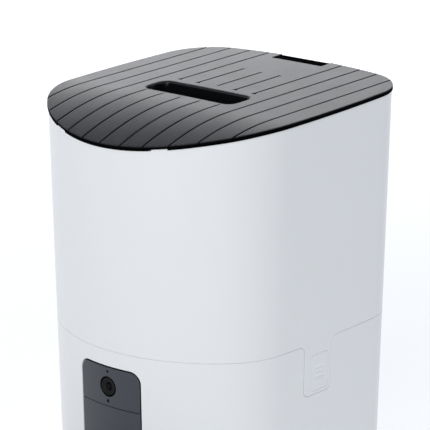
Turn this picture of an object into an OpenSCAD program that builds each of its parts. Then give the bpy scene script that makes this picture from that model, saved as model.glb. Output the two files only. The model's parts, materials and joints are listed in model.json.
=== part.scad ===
/* [Overall] */
// Height of the lid above the table at its rear edge
total_h = 310; // [306:1:314]
// Depth from the front of the tray to the rear edge of the lid
total_d = 300; // [299:0.5:302]

/* [Body outline] */
// Radius of the front curve
front_r = 110.4; // [108:0.1:113]
// Angle of half the front curve
front_a = 43.6; // [42.5:0.1:44.5]
// Radius of each front shoulder
shoulder_r = 58.8; // [57:0.1:61]
// Angle of each front shoulder
shoulder_a = 44; // [43:0.1:45]
// Radius of the nearly flat sides
side_r = 1019; // [950:1:1100]
// Angle of each side curve
side_a = 5.4; // [5.2:0.1:5.6]
// Radius of the rear corners
corner_r = 36.4; // [35:0.1:38]
// Angle of half the rear curve
rear_a = 7.34; // [7.2:0.01:7.5]
// Inward lean of the walls for each millimetre downwards
draft = 0.0205; // [0.018:0.0005:0.023]
// Height of the seam between the tank and the base
seam_z = 152.5; // [151.5:0.5:153.5]

/* [Lid] */
// Rearward rise of the lid for each millimetre of depth
lid_slope = 0.0321; // [0.028:0.0005:0.036]
// Sideways fall of the lid, per square millimetre
lid_crown = 0.0001585; // [0.0001:0.0000005:0.0002]
// Radius of the lid's fall towards the front
nose_r = 189.2; // [180:0.1:200]
// Distance from the body's centre to where that fall starts
nose_start = 33.7; // [31:0.1:36]
// Height of the lid's edge band
band_h = 2.86; // [2.6:0.02:3]
// Distance between neighbouring grooves
groove_pitch = 16; // [15.8:0.1:16.2]
// Width of a groove
groove_w = 1.3; // [1:0.1:1.6]
// Depth of a groove
groove_depth = 0.9; // [0.6:0.1:1.2]
// Width of the grip pocket
grip_w = 76; // [74:0.5:80]
// Length of the grip pocket, front to rear
grip_l = 23; // [22:0.5:25]
// Depth of the grip pocket
grip_depth = 20; // [17:0.5:21]

/* [Walls] */
// Wall thickness of the tank
tank_wall = 2.2; // [2:0.1:2.4]
// Wall thickness of the base
base_wall = 2.4; // [2.2:0.1:2.5]

/* [Dosing] */
// Inner radius of the rotor housing
chamber_r = 55.6; // [55.4:0.1:55.8]
// Number of rotor vanes
vane_n = 6; // [4:1:8]

/* [Front panel] */
// Half width of the panel
panel_half_w = 25.7; // [25:0.1:26]
// Height of the panel's top edge
panel_top = 140.9; // [140:0.1:142]
// Height of the panel's bottom edge
panel_bottom = 80; // [79:0.5:81]
// Height of the camera's axis
camera_z = 127.1; // [126:0.1:128]

/* [Bowl] */
// Radius of the bowl's round ends inside its rim
bowl_r = 43; // [42:0.1:43.2]
// Distance between the centres of the bowl's round ends
bowl_span = 46; // [44:0.5:48]
// Height of the bowl's rim
bowl_top = 28.6; // [28.4:0.1:29]

/* [Hidden] */
$fn = 64;

// Half of the outline: five tangent arcs from the front centre to the rear centre
arc_h = [0, front_a, front_a + shoulder_a, front_a + shoulder_a + side_a, 180 - rear_a, 180];
side_x = (front_r - shoulder_r) * sin(arc_h[1]) + (shoulder_r - side_r) * sin(arc_h[2])
    + (side_r - corner_r) * sin(arc_h[3]);
rear_r = corner_r + side_x / sin(rear_a);
arc_r = [front_r, shoulder_r, side_r, corner_r, rear_r];
arc_n = [7, 8, 2, 10, 3];
function arc_c(i) = i == 0 ? [0, front_r]
    : arc_c(i - 1) + (arc_r[i - 1] - arc_r[i]) * [sin(arc_h[i]), -cos(arc_h[i])];
body_d = arc_c(4).y + rear_r;
lid_edge = 0.6;
notch_half_w = 21.5;
// The lid's rearmost points are the notch's corners, this far ahead of the middle
notch_sag = rear_r - sqrt(rear_r * rear_r - notch_half_w * notch_half_w);
body_y = total_d / 2 - lid_edge - body_d / 2 + notch_sag;
front_y = body_y - body_d / 2;
rear_y = body_y + body_d / 2;
centres = [for (i = [0:4]) arc_c(i) + [0, front_y]];
// Each half-outline step: [arc, heading]
steps = concat([for (i = [0:4]) for (k = [0:arc_n[i] - 1])
    [i, arc_h[i] + (arc_h[i + 1] - arc_h[i]) * k / arc_n[i]]], [[4, 180]]);
last = len(steps) - 1;
function at(s, d) = centres[s[0]] + (arc_r[s[0]] - d) * [sin(s[1]), -cos(s[1])];
// Step number, and side, of each point round the whole outline
loop = concat([for (i = [0:last]) [i, 1]], [for (i = [last - 1:-1:1]) [i, -1]]);
function spot(k, d) = let (p = at(steps[k[0]], d)) [abs(p.x) < 0.001 ? 0 : p.x * k[1], p.y];
function outline(d) = [for (k = loop) spot(k, d)];

// Lid surface and wall lean
lid_z = total_h - lid_slope * (body_d / 2 + lid_edge);
nose_y = body_y - nose_start;
function fall(y) = y < nose_y ? nose_r - sqrt(nose_r * nose_r - (nose_y - y) * (nose_y - y)) : 0;
function lid_top(x, y) = lid_z + lid_slope * (y - body_y) - lid_crown * x * x - fall(y);
function inset(z) = draft * (lid_z - z);
function ring(z, d) = [for (p = outline(inset(z) + d)) [p.x, p.y, z]];
function rim(drop, d) = [for (k = loop) let (q = spot(k, 0), z = lid_top(q.x, q.y) - drop,
    p = spot(k, inset(z) + d)) [p.x, p.y, z]];
function circle_ring(z, r, y) = [for (k = loop) let (a = steps[k[0]][1])
    [abs(sin(a)) < 0.001 ? 0 : r * sin(a) * k[1], y - r * cos(a), z]];

// Heights and places
rim_gap = 0.24;
seam_gap = 0.3;
base_bottom = 2.2;
plate_z = 3;
plate_t = 2.4;
deck_z = 146;
deck_t = 2;
rotor_y = body_y + 5;
floor_z = 96;
floor_t = 2.4;
housing_wall = 2.4;
housing_top = 145.6;
neck_r = 52;
neck_wall = 1.6;
shaft_r = 3;
running = 0.05;
gear_m = 1;
gear_teeth = 40;
pinion_teeth = 16;
gear_z = 87;
gear_t = 6;
centre_dist = gear_m * (gear_teeth + pinion_teeth) / 2;
motor_y = rotor_y + centre_dist;
tab_y0 = body_y - 10.5;
tab_y1 = body_y + 17;
tab_h = 36;
tab_r = 4.5;
tab_fillet = 5.5;
button_y0 = body_y - 3.5;
button_y1 = body_y + 13.8;
button_z0 = 118.6;
button_z1 = 143.6;
button_mid = [(button_y0 + button_y1) / 2, (button_z0 + button_z1) / 2];
split_z = 113.6;
light_z = 117.3;
mic_z = 137.6;
feed_z = 88;
feed_r = 5;
mouth_half_w = 27;
mouth_bottom = 39;
mouth_top = 72;
door_half_w = 50;
door_bottom = 8;
door_top = 41;
socket_z = 58;
speaker_z = 100;
grip_y = body_y - 11;
notch_y = body_y + 90.7;
desiccant_y = body_y + 45;
desiccant_r = 30;
tray_half_w = 76;
tray_r = 46;
tray_top = 27.2;
bowl_y = -98;
tray_front = -total_d / 2;

// Rounded rectangle as points, centred on the origin
function rr(w, h, r, n = 6) = [for (c = [[1, -1, -90], [1, 1, 0], [-1, 1, 90], [-1, -1, 180]])
    for (i = [0:n]) let (a = c[2] + 90 * i / n)
        [c[0] * (w / 2 - r) + r * cos(a), c[1] * (h / 2 - r) + r * sin(a)]];

// Extrudes a shape drawn in Y and Z along X, from x0 to x1
module along_x(x0, x1) {
    translate([x0, 0, 0]) rotate([90, 0, 90]) linear_extrude(x1 - x0) children();
}

// Extrudes a shape drawn in X and Z along Y, from y0 to y1
module along_y(y0, y1) {
    translate([0, y1, 0]) rotate([90, 0, 0]) linear_extrude(y1 - y0) children();
}

// Box from its lowest to its highest corner
module block(a, b) {
    translate(a) cube(b - a);
}

// Closed wall through a loop of rings
module wall(rings) {
    n = len(rings[0]);
    m = len(rings);
    polyhedron([for (r = rings) each r], [for (j = [0:m - 1]) for (i = [0:n - 1])
        let (a = j * n + i, b = j * n + (i + 1) % n, c = (j + 1) % m * n + (i + 1) % n,
            d = (j + 1) % m * n + i) each [[a, c, b], [a, d, c]]]);
}

// Solid that follows the lid's surface, between two drops below it
lid_cols = 6;
module slab(d, drop_low, drop_high) {
    m = lid_cols;
    size = 2 + (last - 1) * (m + 1);
    grid = [for (drop = [drop_high, drop_low]) each concat(
        [let (p = at(steps[0], d)) [0, p.y, lid_top(0, p.y) - drop]],
        [for (i = [1:last - 1]) let (p = at(steps[i], d)) for (j = [0:m])
            let (x = p.x * (2 * j / m - 1)) [x, p.y, lid_top(x, p.y) - drop]],
        [let (p = at(steps[last], d)) [0, p.y, lid_top(0, p.y) - drop]])];
    function id(s, i, j) = s * size + (i == 0 ? 0 : i == last ? size - 1 : 1 + (i - 1) * (m + 1) + j);
    tris = [for (i = [0:last - 1]) each concat(
        [for (j = [0:m - 1]) each [
            [id(0, i, j), id(0, i + 1, j + 1), id(0, i, j + 1)],
            [id(0, i, j), id(0, i + 1, j), id(0, i + 1, j + 1)],
            [id(1, i, j), id(1, i, j + 1), id(1, i + 1, j + 1)],
            [id(1, i, j), id(1, i + 1, j + 1), id(1, i + 1, j)]]],
        [[id(1, i, m), id(0, i + 1, m), id(1, i + 1, m)], [id(1, i, m), id(0, i, m), id(0, i + 1, m)],
            [id(1, i, 0), id(1, i + 1, 0), id(0, i + 1, 0)], [id(1, i, 0), id(0, i + 1, 0), id(0, i, 0)]])];
    polyhedron(grid, [for (t = tris) if (t[0] != t[1] && t[1] != t[2] && t[0] != t[2]) t]);
}

// Part of the front wall, between two depths below its face
front_c = [0, front_y + front_r];
module front_skin(d0, d1, z0, z1) {
    translate([0, front_c.y, z0]) difference() {
        cylinder(h = z1 - z0, r1 = front_r - inset(z0) - d0, r2 = front_r - inset(z1) - d0, $fn = 180);
        translate([0, 0, -0.01]) cylinder(h = z1 - z0 + 0.02, r1 = front_r - inset(z0) - d1,
            r2 = front_r - inset(z1) - d1, $fn = 180);
    }
}

// Side tab's outline in Y and Z, grown by e
module tab_shape(e) {
    w = tab_y1 - tab_y0 + 2 * e;
    mid = (tab_y0 + tab_y1) / 2;
    translate([mid, seam_z - tab_h / 2 - e / 2 + 2]) polygon(rr(w, tab_h + e + 4, tab_r + e));
    r = tab_fillet - e;
    for (s = [-1, 1]) translate([mid + s * w / 2, seam_z]) difference() {
        polygon([[-s * 0.5, 0.5], [s * r, 0.5], [s * r, 0], [0, -r], [-s * 0.5, -r]]);
        polygon(concat([[s * r, -r], [s * r, 0]], [for (a = [15:15:75])
            [s * r - s * r * sin(a), -r + r * cos(a)]], [[0, -r]]));
    }
}

// Coil spring along Z, from its base
module coil(r, wire, turns, length) {
    n = round(turns * 12);
    pts = [for (k = [0:n]) let (a = 360 * turns * k / n, z = wire + (length - 2 * wire) * k / n)
        for (j = [0:5]) let (b = 60 * j)
            [(r + wire * cos(b)) * cos(a), (r + wire * cos(b)) * sin(a), z + wire * sin(b)]];
    polyhedron(pts, concat([[0, 1, 2, 3, 4, 5]], [[for (j = [5:-1:0]) n * 6 + j]],
        [for (k = [0:n - 1]) for (j = [0:5]) let (a = k * 6 + j, b = k * 6 + (j + 1) % 6)
            each [[a, a + 6, b + 6], [a, b + 6, b]]]));
}

// Screw along Z, with its head at z = 0 and its shank upwards
module screw(r, head_r, head_h, length) {
    difference() {
        union() {
            translate([0, 0, -head_h]) cylinder(h = head_h, r = head_r, $fn = 32);
            cylinder(h = length, r = r, $fn = 24);
        }
        for (a = [0, 90]) rotate([0, 0, a])
            block([-head_r * 0.6, -0.35, -head_h - 1], [head_r * 0.6, 0.35, -head_h * 0.4]);
    }
}

// Involute gear with its first tooth centred on +X
function roll(base, r) = sqrt(max(0, r * r / (base * base) - 1)) * 180 / PI;
function flank(base, r) = roll(base, r) - atan(roll(base, r) * PI / 180);
function tooth(n, slack) = let (pitch = gear_m * n / 2, base = pitch * cos(20),
    half = 90 / n - slack / pitch * 90 / PI + flank(base, pitch), top = pitch + gear_m * 0.95,
    root = pitch - 1.25 * gear_m, low = max(base, root), radii = [for (k = [0:4]) low + (top - low) * k / 4])
    concat([[root, -half - (root < base ? 0 : -flank(base, root))]],
        [for (r = radii) [r, flank(base, r) - half]],
        [for (k = [4:-1:0]) [radii[k], half - flank(base, radii[k])]],
        [[root, half + (root < base ? 0 : -flank(base, root))]]);
module gear(n, t, bore, slack = 0.12) {
    one = tooth(n, slack);
    linear_extrude(t) difference() {
        polygon([for (k = [0:n - 1]) for (p = one) let (a = p[1] + 360 * k / n)
            [p[0] * cos(a), p[0] * sin(a)]]);
        circle(r = bore, $fn = 32);
    }
}

// Where the base's bottom screws, deck screws and lid screws go
bottom_posts = [for (s = [-1, 1]) for (p = [[60, 0, 24], [78, 50, 9.5], [66, 118, 20]])
    [s * p.x, p.y, p.z]];
deck_posts = [for (s = [-1, 1]) for (p = [[66, -4, 18], [71, 112, 16]]) [s * p.x, p.y, p.z]];
lid_posts = [for (s = [-1, 1]) for (p = [[50, -26], [72, 30], [52, 118]]) [s * p.x, p.y]];
foot_spots = [for (s = [-1, 1]) for (p = [[50, -16], [48, 122]]) [s * p.x, p.y]];

module latch_pocket(s) {
    x = [80, 89.3];
    y = [tab_y0 - 3.5, tab_y1 + 4];
    mirror([s < 0 ? 1 : 0, 0, 0]) difference() {
        block([x[0], y[0], 112], [x[1], y[1], seam_z - seam_gap]);
        block([x[0] + 1.6, y[0] + 1.6, 113.6], [x[1] + 1, y[1] - 1.6, seam_z]);
    }
}

module base_shell() {
    low = base_bottom;
    high = seam_z - seam_gap;
    color("whitesmoke") difference() {
        union() {
            wall([ring(low, 0), ring(high, 0), ring(high, base_wall), ring(low, base_wall)]);
            difference() {
                wall([ring(139.5, base_wall - 0.4), ring(deck_z - 0.2, base_wall - 0.4),
                    ring(deck_z - 0.2, 7), ring(deck_z - 2.2, 7)]);
                for (s = [-1, 1]) mirror([s < 0 ? 1 : 0, 0, 0])
                    block([79.9, tab_y0 - 3.6, 100], [100, tab_y1 + 4.1, 160]);
            }
            for (s = [-1, 1]) latch_pocket(s);
            for (p = bottom_posts) {
                translate([p.x, p.y, plate_z + plate_t + 0.1]) cylinder(h = 20, r = 4);
                mirror([p.x < 0 ? 1 : 0, 0, 0])
                    block([abs(p.x), p.y - 0.8, plate_z + plate_t + 0.1], [abs(p.x) + p.z, p.y + 0.8, 24]);
            }
            for (p = deck_posts) {
                translate([p.x, p.y, 128]) cylinder(h = deck_z - 0.2 - 128, r = 4);
                mirror([p.x < 0 ? 1 : 0, 0, 0])
                    block([abs(p.x), p.y - 0.8, 128], [abs(p.x) + p.z, p.y + 0.8, deck_z - 0.2]);
            }
            intersection() {
                front_skin(base_wall - 0.4, base_wall + 2, panel_bottom - 1.5, panel_top + 3);
                panel_prism(3, -60, -30);
            }
        }
        along_x(-120, 120) tab_shape(0.4);
        panel_prism(-1.4, -60, -30);
        intersection() {
            front_skin(-1, base_wall + 0.2, panel_bottom - 3, panel_top + 3);
            panel_prism(0.45, -60, -30);
        }
        along_y(-60, -30) translate([0, (mouth_bottom + mouth_top) / 2])
            polygon(rr(2 * mouth_half_w, mouth_top - mouth_bottom, 8));
        block([-29, front_y - 5, 0], [29, front_y + 20, 3.3]);
        along_y(rear_y - 20, rear_y + 5) translate([0, (door_bottom + door_top) / 2])
            polygon(rr(2 * door_half_w, door_top - door_bottom, 4));
        translate([0, rear_y - 12, socket_z]) rotate([-90, 0, 0]) cylinder(h = 20, r = 4.3);
        for (p = speaker_holes()) translate([p.x, rear_y - 12, speaker_z + p.y])
            rotate([-90, 0, 0]) cylinder(h = 20, r = 1, $fn = 24);
        for (p = bottom_posts) translate([p.x, p.y, 5]) cylinder(h = 17, r = 1.4, $fn = 24);
        for (p = deck_posts) translate([p.x, p.y, 132]) cylinder(h = 20, r = 1.4, $fn = 24);
    }
}

function speaker_holes() = concat([[0, 0]], [for (a = [0:60:300]) [5 * cos(a), 5 * sin(a)]],
    [for (a = [0:30:330]) [10 * cos(a), 10 * sin(a)]]);

// The front panel's rounded outline as a prism through the wall, grown by e
module panel_prism(e, y0, y1) {
    along_y(y0, y1) translate([0, (panel_top + panel_bottom) / 2])
        polygon(rr(2 * (panel_half_w + e), panel_top - panel_bottom + 2 * e, 7.5 + e));
}

module panel_skin(z0, z1) {
    intersection() {
        front_skin(0.35, 2.35, z0, z1);
        panel_prism(0, -60, -30);
    }
}

module front_hole(z, r) {
    translate([0, front_y - 5, z]) rotate([-90, 0, 0]) cylinder(h = 20, r = r);
}

module front_panel_upper() {
    color("dimgray") difference() {
        panel_skin(split_z + 0.15, panel_top + 1);
        front_hole(camera_z, 6.85);
        front_hole(light_z, 1);
        front_hole(mic_z, 0.6);
    }
}

module front_panel_lower() {
    color("dimgray") difference() {
        panel_skin(panel_bottom - 1, split_z - 0.15);
        front_hole(feed_z, feed_r + 0.3);
    }
}

function face_y(z) = front_y + inset(z);

module camera_ring() {
    y = face_y(camera_z) + 0.3;
    color("black") translate([0, y, camera_z]) rotate([-90, 0, 0]) rotate_extrude()
        polygon([[5.95, 0], [5.95, 2], [6.75, 2], [6.75, 3.1], [2.7, 3.1], [2.7, 1.3], [4.2, 0.7], [5.6, 0]]);
}

module camera_lens() {
    y = face_y(camera_z) + 1.2;
    color("midnightblue") translate([0, y, camera_z]) rotate([-90, 0, 0]) rotate_extrude()
        polygon([[0, 0], [1, 0.1], [1.8, 0.35], [2.6, 0.8], [2.6, 3], [3.8, 3], [3.8, 4.5], [0, 4.5]]);
}

module camera_board() {
    y = face_y(camera_z) + 5.8;
    color("darkgreen") union() {
        translate([0, y, camera_z]) rotate([-90, 0, 0]) cylinder(h = 6, r = 4.6);
        block([-12, y + 6, camera_z - 12], [12, y + 7.6, camera_z + 12]);
        block([-4, y + 7.6, camera_z - 9], [4, y + 9.4, camera_z - 1]);
    }
}

module status_light() {
    color("white") translate([0, face_y(light_z) + 0.5, light_z]) rotate([-90, 0, 0])
        cylinder(h = 8, r = 0.95, $fn = 24);
}

module feed_button() {
    color("gray") translate([0, face_y(feed_z) - 0.2, feed_z]) rotate([-90, 0, 0]) union() {
        rotate_extrude() polygon([[0, 0.6], [2.6, 0.45], [4.2, 0.1], [4.8, 0], [feed_r, 0.25],
            [feed_r, 4.6], [6.2, 4.6], [6.2, 5.4], [0, 5.4]]);
        cylinder(h = 6.4, r = 1.6);
    }
}

module feed_button_spring() {
    color("silver") translate([0, face_y(feed_z) + 5.3, feed_z]) rotate([-90, 0, 0])
        coil(4.6, 0.3, 4, 4.2);
}

module button_board() {
    y = face_y(feed_z) + 9.6;
    color("darkgreen") union() {
        block([-12, y, 81], [12, y + 1.6, 106]);
        block([-3, y - 1.6, feed_z - 3], [3, y, feed_z + 3]);
    }
}

module bottom_plate() {
    color("gainsboro") difference() {
        union() {
            translate([0, 0, plate_z]) linear_extrude(plate_t)
                polygon(outline(inset(plate_z) + base_wall + 0.4));
            for (y = [14, 82]) block([-68.2, y, plate_z + plate_t - 0.1], [-62.2, y + 6, 30]);
        }
        block([-29, front_y - 5, 0], [29, front_y + 6, 10]);
        for (p = bottom_posts) translate([p.x, p.y, 0]) {
            cylinder(h = 10, r = 1.8, $fn = 32);
            cylinder(h = plate_z + 1.2, r = 3.4, $fn = 32);
        }
        for (p = foot_spots) translate([p.x, p.y, 0]) cylinder(h = plate_z + 0.8, r = 8.1);
        block([-66.1, 9, 8.9], [-64.3, 95, 40]);
    }
}

module bottom_screws() {
    color("silver") for (p = bottom_posts) translate([p.x, p.y, plate_z + 1.15]) screw(1.35, 3, 1, 14);
}

module rubber_feet() {
    color("dimgray") for (p = foot_spots) translate([p.x, p.y, 0]) rotate_extrude()
        polygon([[0, 0], [7, 0], [7.6, 0.3], [8, 0.9], [8, plate_z + 0.75], [0, plate_z + 0.75]]);
}

module base_deck() {
    color("white") difference() {
        translate([0, 0, deck_z]) linear_extrude(deck_t) polygon(outline(inset(deck_z) + base_wall + 0.4));
        translate([0, rotor_y, deck_z - 1]) cylinder(h = 5, r = neck_r + neck_wall + 1);
        for (s = [-1, 1]) mirror([s < 0 ? 1 : 0, 0, 0])
            block([79.6, tab_y0 - 3.9, 100], [100, tab_y1 + 4.4, 160]);
        for (p = deck_posts) translate([p.x, p.y, deck_z - 1]) cylinder(h = 5, r = 1.6, $fn = 32);
        for (a = [30, 150, 270]) translate([0, rotor_y, deck_z - 1]) rotate([0, 0, a])
            translate([61.2, 0, 0]) cylinder(h = 5, r = 1.6, $fn = 32);
    }
}

module deck_screws() {
    color("silver") {
        for (p = deck_posts) translate([p.x, p.y, deck_z + deck_t + 0.05]) mirror([0, 0, 1])
            screw(1.35, 2.8, 1.6, 12);
        for (a = [30, 150, 270]) translate([0, rotor_y, deck_z + deck_t + 0.05]) rotate([0, 0, a])
            translate([61.2, 0, 0]) mirror([0, 0, 1]) screw(1.35, 2.8, 1.6, 8);
    }
}

module rotor_housing() {
    r = chamber_r + housing_wall;
    color("lightgray") translate([0, rotor_y, 0]) difference() {
        union() {
            translate([0, 0, floor_z]) cylinder(h = housing_top - floor_z, r = r, $fn = 96);
            translate([0, 0, housing_top - 2.4]) cylinder(h = 2.4, r = 64.5, $fn = 96);
            for (a = [30, 150, 270]) rotate([0, 0, a]) translate([61.2, 0, housing_top - 9])
                cylinder(h = 8.5, r = 2.8);
        }
        translate([0, 0, floor_z + floor_t]) cylinder(h = 60, r = chamber_r, $fn = 96);
        intersection() {
            translate([0, 0, floor_z - 1]) cylinder(h = 5, r = chamber_r - 1.6, $fn = 96);
            block([-22, -60, 90], [22, -24.6, 110]);
        }
        translate([0, 0, floor_z - 1]) cylinder(h = 5, r = shaft_r + running, $fn = 48);
        for (a = [30, 150, 270]) rotate([0, 0, a]) translate([61.2, 0, housing_top - 8])
            cylinder(h = 10, r = 1.4, $fn = 24);
    }
}

module rotor_hub() {
    color("orange") translate([0, rotor_y, 0]) difference() {
        rotate_extrude($fn = 96) polygon([[0, floor_z + floor_t + 0.4], [14, floor_z + floor_t + 0.4],
            [14, 129], [12.8, 131.4], [9.6, 133.4], [5, 134.6], [0, 135]]);
        translate([0, 0, floor_z]) cylinder(h = 30, r = shaft_r + 0.02, $fn = 48);
        for (k = [0:vane_n - 1]) rotate([0, 0, 360 * (k + 0.5) / vane_n])
            block([10.95, -0.85, floor_z], [20, 0.85, 128.05]);
    }
}

module rotor_vanes() {
    color("darkorange") translate([0, rotor_y, 0]) for (k = [0:vane_n - 1])
        rotate([0, 0, 360 * (k + 0.5) / vane_n]) rotate([90, 0, 0]) translate([0, 0, -0.8])
            linear_extrude(1.6) polygon([[11, floor_z + floor_t + 0.5], [chamber_r - 1, floor_z + floor_t + 0.5],
                [chamber_r - 0.5, floor_z + floor_t + 1.5], [chamber_r - 0.5, 131], [chamber_r - 3, 133],
                [22, 133], [14.5, 128], [11, 128]]);
}

module rotor_shaft() {
    color("silver") translate([0, rotor_y, 83.4]) cylinder(h = 42.4, r = shaft_r, $fn = 48);
}

module drive_gear() {
    color("ivory") translate([0, rotor_y, gear_z]) rotate([0, 0, 90]) gear(gear_teeth, gear_t, shaft_r + 0.02);
}

module motor_pinion() {
    color("ivory") translate([0, motor_y, gear_z]) union() {
        rotate([0, 0, -90 + 180 / pinion_teeth]) gear(pinion_teeth, gear_t, 1);
        translate([0, 0, 82.3 - gear_z]) cylinder(h = 94 - 82.3, r = 1.5, $fn = 48);
    }
}

module gear_case() {
    low = 84;
    high = floor_z - 0.1;
    cave = gear_m * (gear_teeth / 2 + 1) + 0.35;
    small = gear_m * (pinion_teeth / 2 + 1) + 0.4;
    color("silver") difference() {
        union() {
            translate([0, rotor_y, low]) cylinder(h = high - low, r = cave + 1.2, $fn = 96);
            translate([0, motor_y, low]) cylinder(h = high - low, r = small + 1.6);
            block([-small - 1.6, rotor_y + 10, low], [small + 1.6, motor_y, high]);
            for (s = [-1, 1]) translate([s * 27, rotor_y, high - 3]) cylinder(h = 3, r = 5);
            block([-27, rotor_y - 3, high - 3], [27, rotor_y + 3, high]);
        }
        translate([0, rotor_y, low + 1.6]) cylinder(h = 20, r = cave, $fn = 96);
        translate([0, motor_y, low + 1.6]) cylinder(h = 20, r = small);
        block([-small, rotor_y + 10, low + 1.6], [small, motor_y, 110]);
        translate([0, rotor_y, low - 1]) cylinder(h = 10, r = shaft_r + running, $fn = 48);
        translate([0, motor_y, low - 1]) cylinder(h = 10, r = 1.5 + running, $fn = 48);
        for (s = [-1, 1]) translate([s * 27, rotor_y, high - 5]) cylinder(h = 10, r = 1.5, $fn = 24);
    }
}

module gear_motor() {
    color("slategray") translate([0, motor_y, 0]) difference() {
        union() {
            translate([0, 0, 45]) cylinder(h = 36.8, r = 12);
            translate([0, 0, 81.7]) cylinder(h = 2.2, r = 4.5);
            block([-3, -8, 43.6], [-2.4, -5, 46]);
            block([2.4, -8, 43.6], [3, -5, 46]);
        }
        translate([0, 0, 82]) cylinder(h = 10, r = 1.5 + running, $fn = 48);
    }
}

module outlet_chute() {
    w = mouth_half_w;
    color("lightgray") intersection() {
        difference() {
            along_x(-w - 1.8, w + 1.8) polygon([[29.2, floor_z - 0.15], [29.2, 85.8], [-52, 35],
                [-52, 74], [-40, 76.4], [-16, 90], [-4.5, floor_z - 0.15]]);
            along_x(-w, w) polygon([[27.4, floor_z + 5], [27.4, 87.8], [-53, 37.6],
                [-53, 72.2], [-39.6, 74.7], [-15, 88.4], [-2.7, floor_z + 5]]);
        }
        translate([0, 0, 30]) linear_extrude(70) polygon(outline(inset(55) + base_wall + 0.4));
    }
}

module food_sensors() {
    color("black") for (s = [-1, 1]) mirror([s < 0 ? 1 : 0, 0, 0]) {
        block([mouth_half_w + 1.9, -24, 66], [mouth_half_w + 7, -15, 75]);
        block([mouth_half_w + 3, -22, 58], [mouth_half_w + 3.6, -17, 66]);
    }
}

module main_board() {
    color("darkgreen") difference() {
        union() {
            block([-66, 12, 9], [-64.4, 90, 76]);
            block([-64.4, 26, 30], [-62.6, 40, 44]);
            block([-64.4, 50, 50], [-56, 58, 56]);
            block([-64.4, 64, 20], [-60.4, 80, 32]);
            for (y = [32, 44]) translate([-64.4, y, 64]) rotate([0, 90, 0]) cylinder(h = 9, r = 4);
        }
        for (y = [16, 86]) translate([-70, y, 70]) rotate([0, 90, 0]) cylinder(h = 10, r = 1.6, $fn = 24);
    }
}

module speaker() {
    y = rear_y - inset(speaker_z) - base_wall - 0.9;
    color("dimgray") translate([0, y, speaker_z]) rotate([90, 0, 0]) difference() {
        rotate_extrude() polygon([[0, 3.4], [6, 2.4], [15.5, 0.6], [16, 0], [18, 0], [18, 3.5],
            [15, 6], [8, 8], [8, 11], [0, 11]]);
        for (a = [0, 180]) rotate([0, 0, a]) block([17.1, -1.5, -1], [20, 1.5, 5]);
    }
}

module power_socket() {
    y = rear_y - inset(socket_z) - 0.4;
    color("black") difference() {
        union() {
            translate([0, y, socket_z]) rotate([90, 0, 0]) cylinder(h = 3, r = 4.1);
            block([-5.5, y - 14, socket_z - 5.5], [5.5, y - 2.6, socket_z + 5.5]);
            for (z = [-3, 3]) block([-1, y - 17, socket_z + z - 0.5], [1, y - 14, socket_z + z + 0.5]);
        }
        difference() {
            translate([0, y + 1, socket_z]) rotate([90, 0, 0]) cylinder(h = 11, r = 2.9);
            translate([0, y - 1, socket_z]) rotate([90, 0, 0]) cylinder(h = 12, r = 1);
        }
    }
}

module battery_case() {
    color("gainsboro") difference() {
        block([-52.6, 73.6, 6.2], [52.6, 137, 43]);
        block([-50.8, 75.2, 7.8], [50.8, 140, 41.4]);
    }
}

cell_r = 16.4;
module battery_cells() {
    color("goldenrod") for (k = [-1:1]) translate([k * 33.6, 0, 24.6]) rotate([-90, 0, 0]) {
        s = k == 0 ? 1 : 0;
        translate([0, 0, 76.6 + (s ? 1.6 : 0)]) cylinder(h = 56.6, r = cell_r);
        translate([0, 0, s ? 76.6 : 133]) cylinder(h = 1.8, r = 4.5);
    }
}

module battery_contacts() {
    color("silver") for (k = [-1:1]) translate([k * 33.6, 0, 24.6]) {
        block([-6, 75.3, -6], [6, 75.7, 6]);
        block([-6, 135.4, -8], [6, 135.8, 8]);
    }
}

module battery_door() {
    e = 0.35;
    color("white") difference() {
        union() {
            intersection() {
                wall([ring(6, 0.15), ring(44, 0.15), ring(44, base_wall), ring(6, base_wall)]);
                along_y(rear_y - 20, rear_y + 5) translate([0, (door_bottom + door_top) / 2])
                    polygon(rr(2 * (door_half_w - e), door_top - door_bottom - 2 * e, 4 - e));
            }
            for (k = [-1:1]) block([k * 33.6 - 7, 136.2, 17], [k * 33.6 + 7, 139.8, 18.6]);
        }
        along_y(rear_y - 6.9, rear_y + 5) translate([0, door_top - 7])
            polygon(rr(22, 6, 2.9));
    }
}

// Tray's outline before the body is cut from it
function tray_outline() = concat(
    [for (a = [-90:9:0]) [tray_half_w - tray_r + tray_r * cos(a), tray_front + tray_r + tray_r * sin(a)]],
    [[tray_half_w, 20], [-tray_half_w, 20]],
    [for (a = [180:9:270]) [tray_r - tray_half_w + tray_r * cos(a), tray_front + tray_r + tray_r * sin(a)]]);

// Slot shape round the bowl's two centres
module stadium(r) {
    polygon([for (s = [-1, 1]) for (i = [0:16]) let (a = -90 * s + 180 / 16 * i)
        [s * bowl_span / 2 + r * cos(a), r * sin(a)]]);
}

// Where the tray's pads go
pad_spots = [[-62, -62], [62, -62], [0, -142.5]];

module bowl_tray() {
    color("whitesmoke") difference() {
        union() {
            difference() {
                translate([0, 0, 0.9]) linear_extrude(tray_top - 0.9) polygon(tray_outline());
                translate([0, 0, -1]) linear_extrude(40) polygon(outline(inset(14) - 0.75));
            }
            block([-28, front_y, 0.9], [28, front_y + 32, 2.5]);
        }
        translate([0, bowl_y, 4]) linear_extrude(40) stadium(bowl_r + 1);
        for (p = pad_spots) translate([p.x, p.y, 0]) cylinder(h = 2.4, r = 5.6);
    }
}

module tray_feet() {
    color("dimgray") for (p = pad_spots) translate([p.x, p.y, 0]) rotate_extrude()
        polygon([[0, 0], [4.8, 0], [5.3, 0.4], [5.5, 1], [5.5, 2.35], [0, 2.35]]);
}

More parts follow.
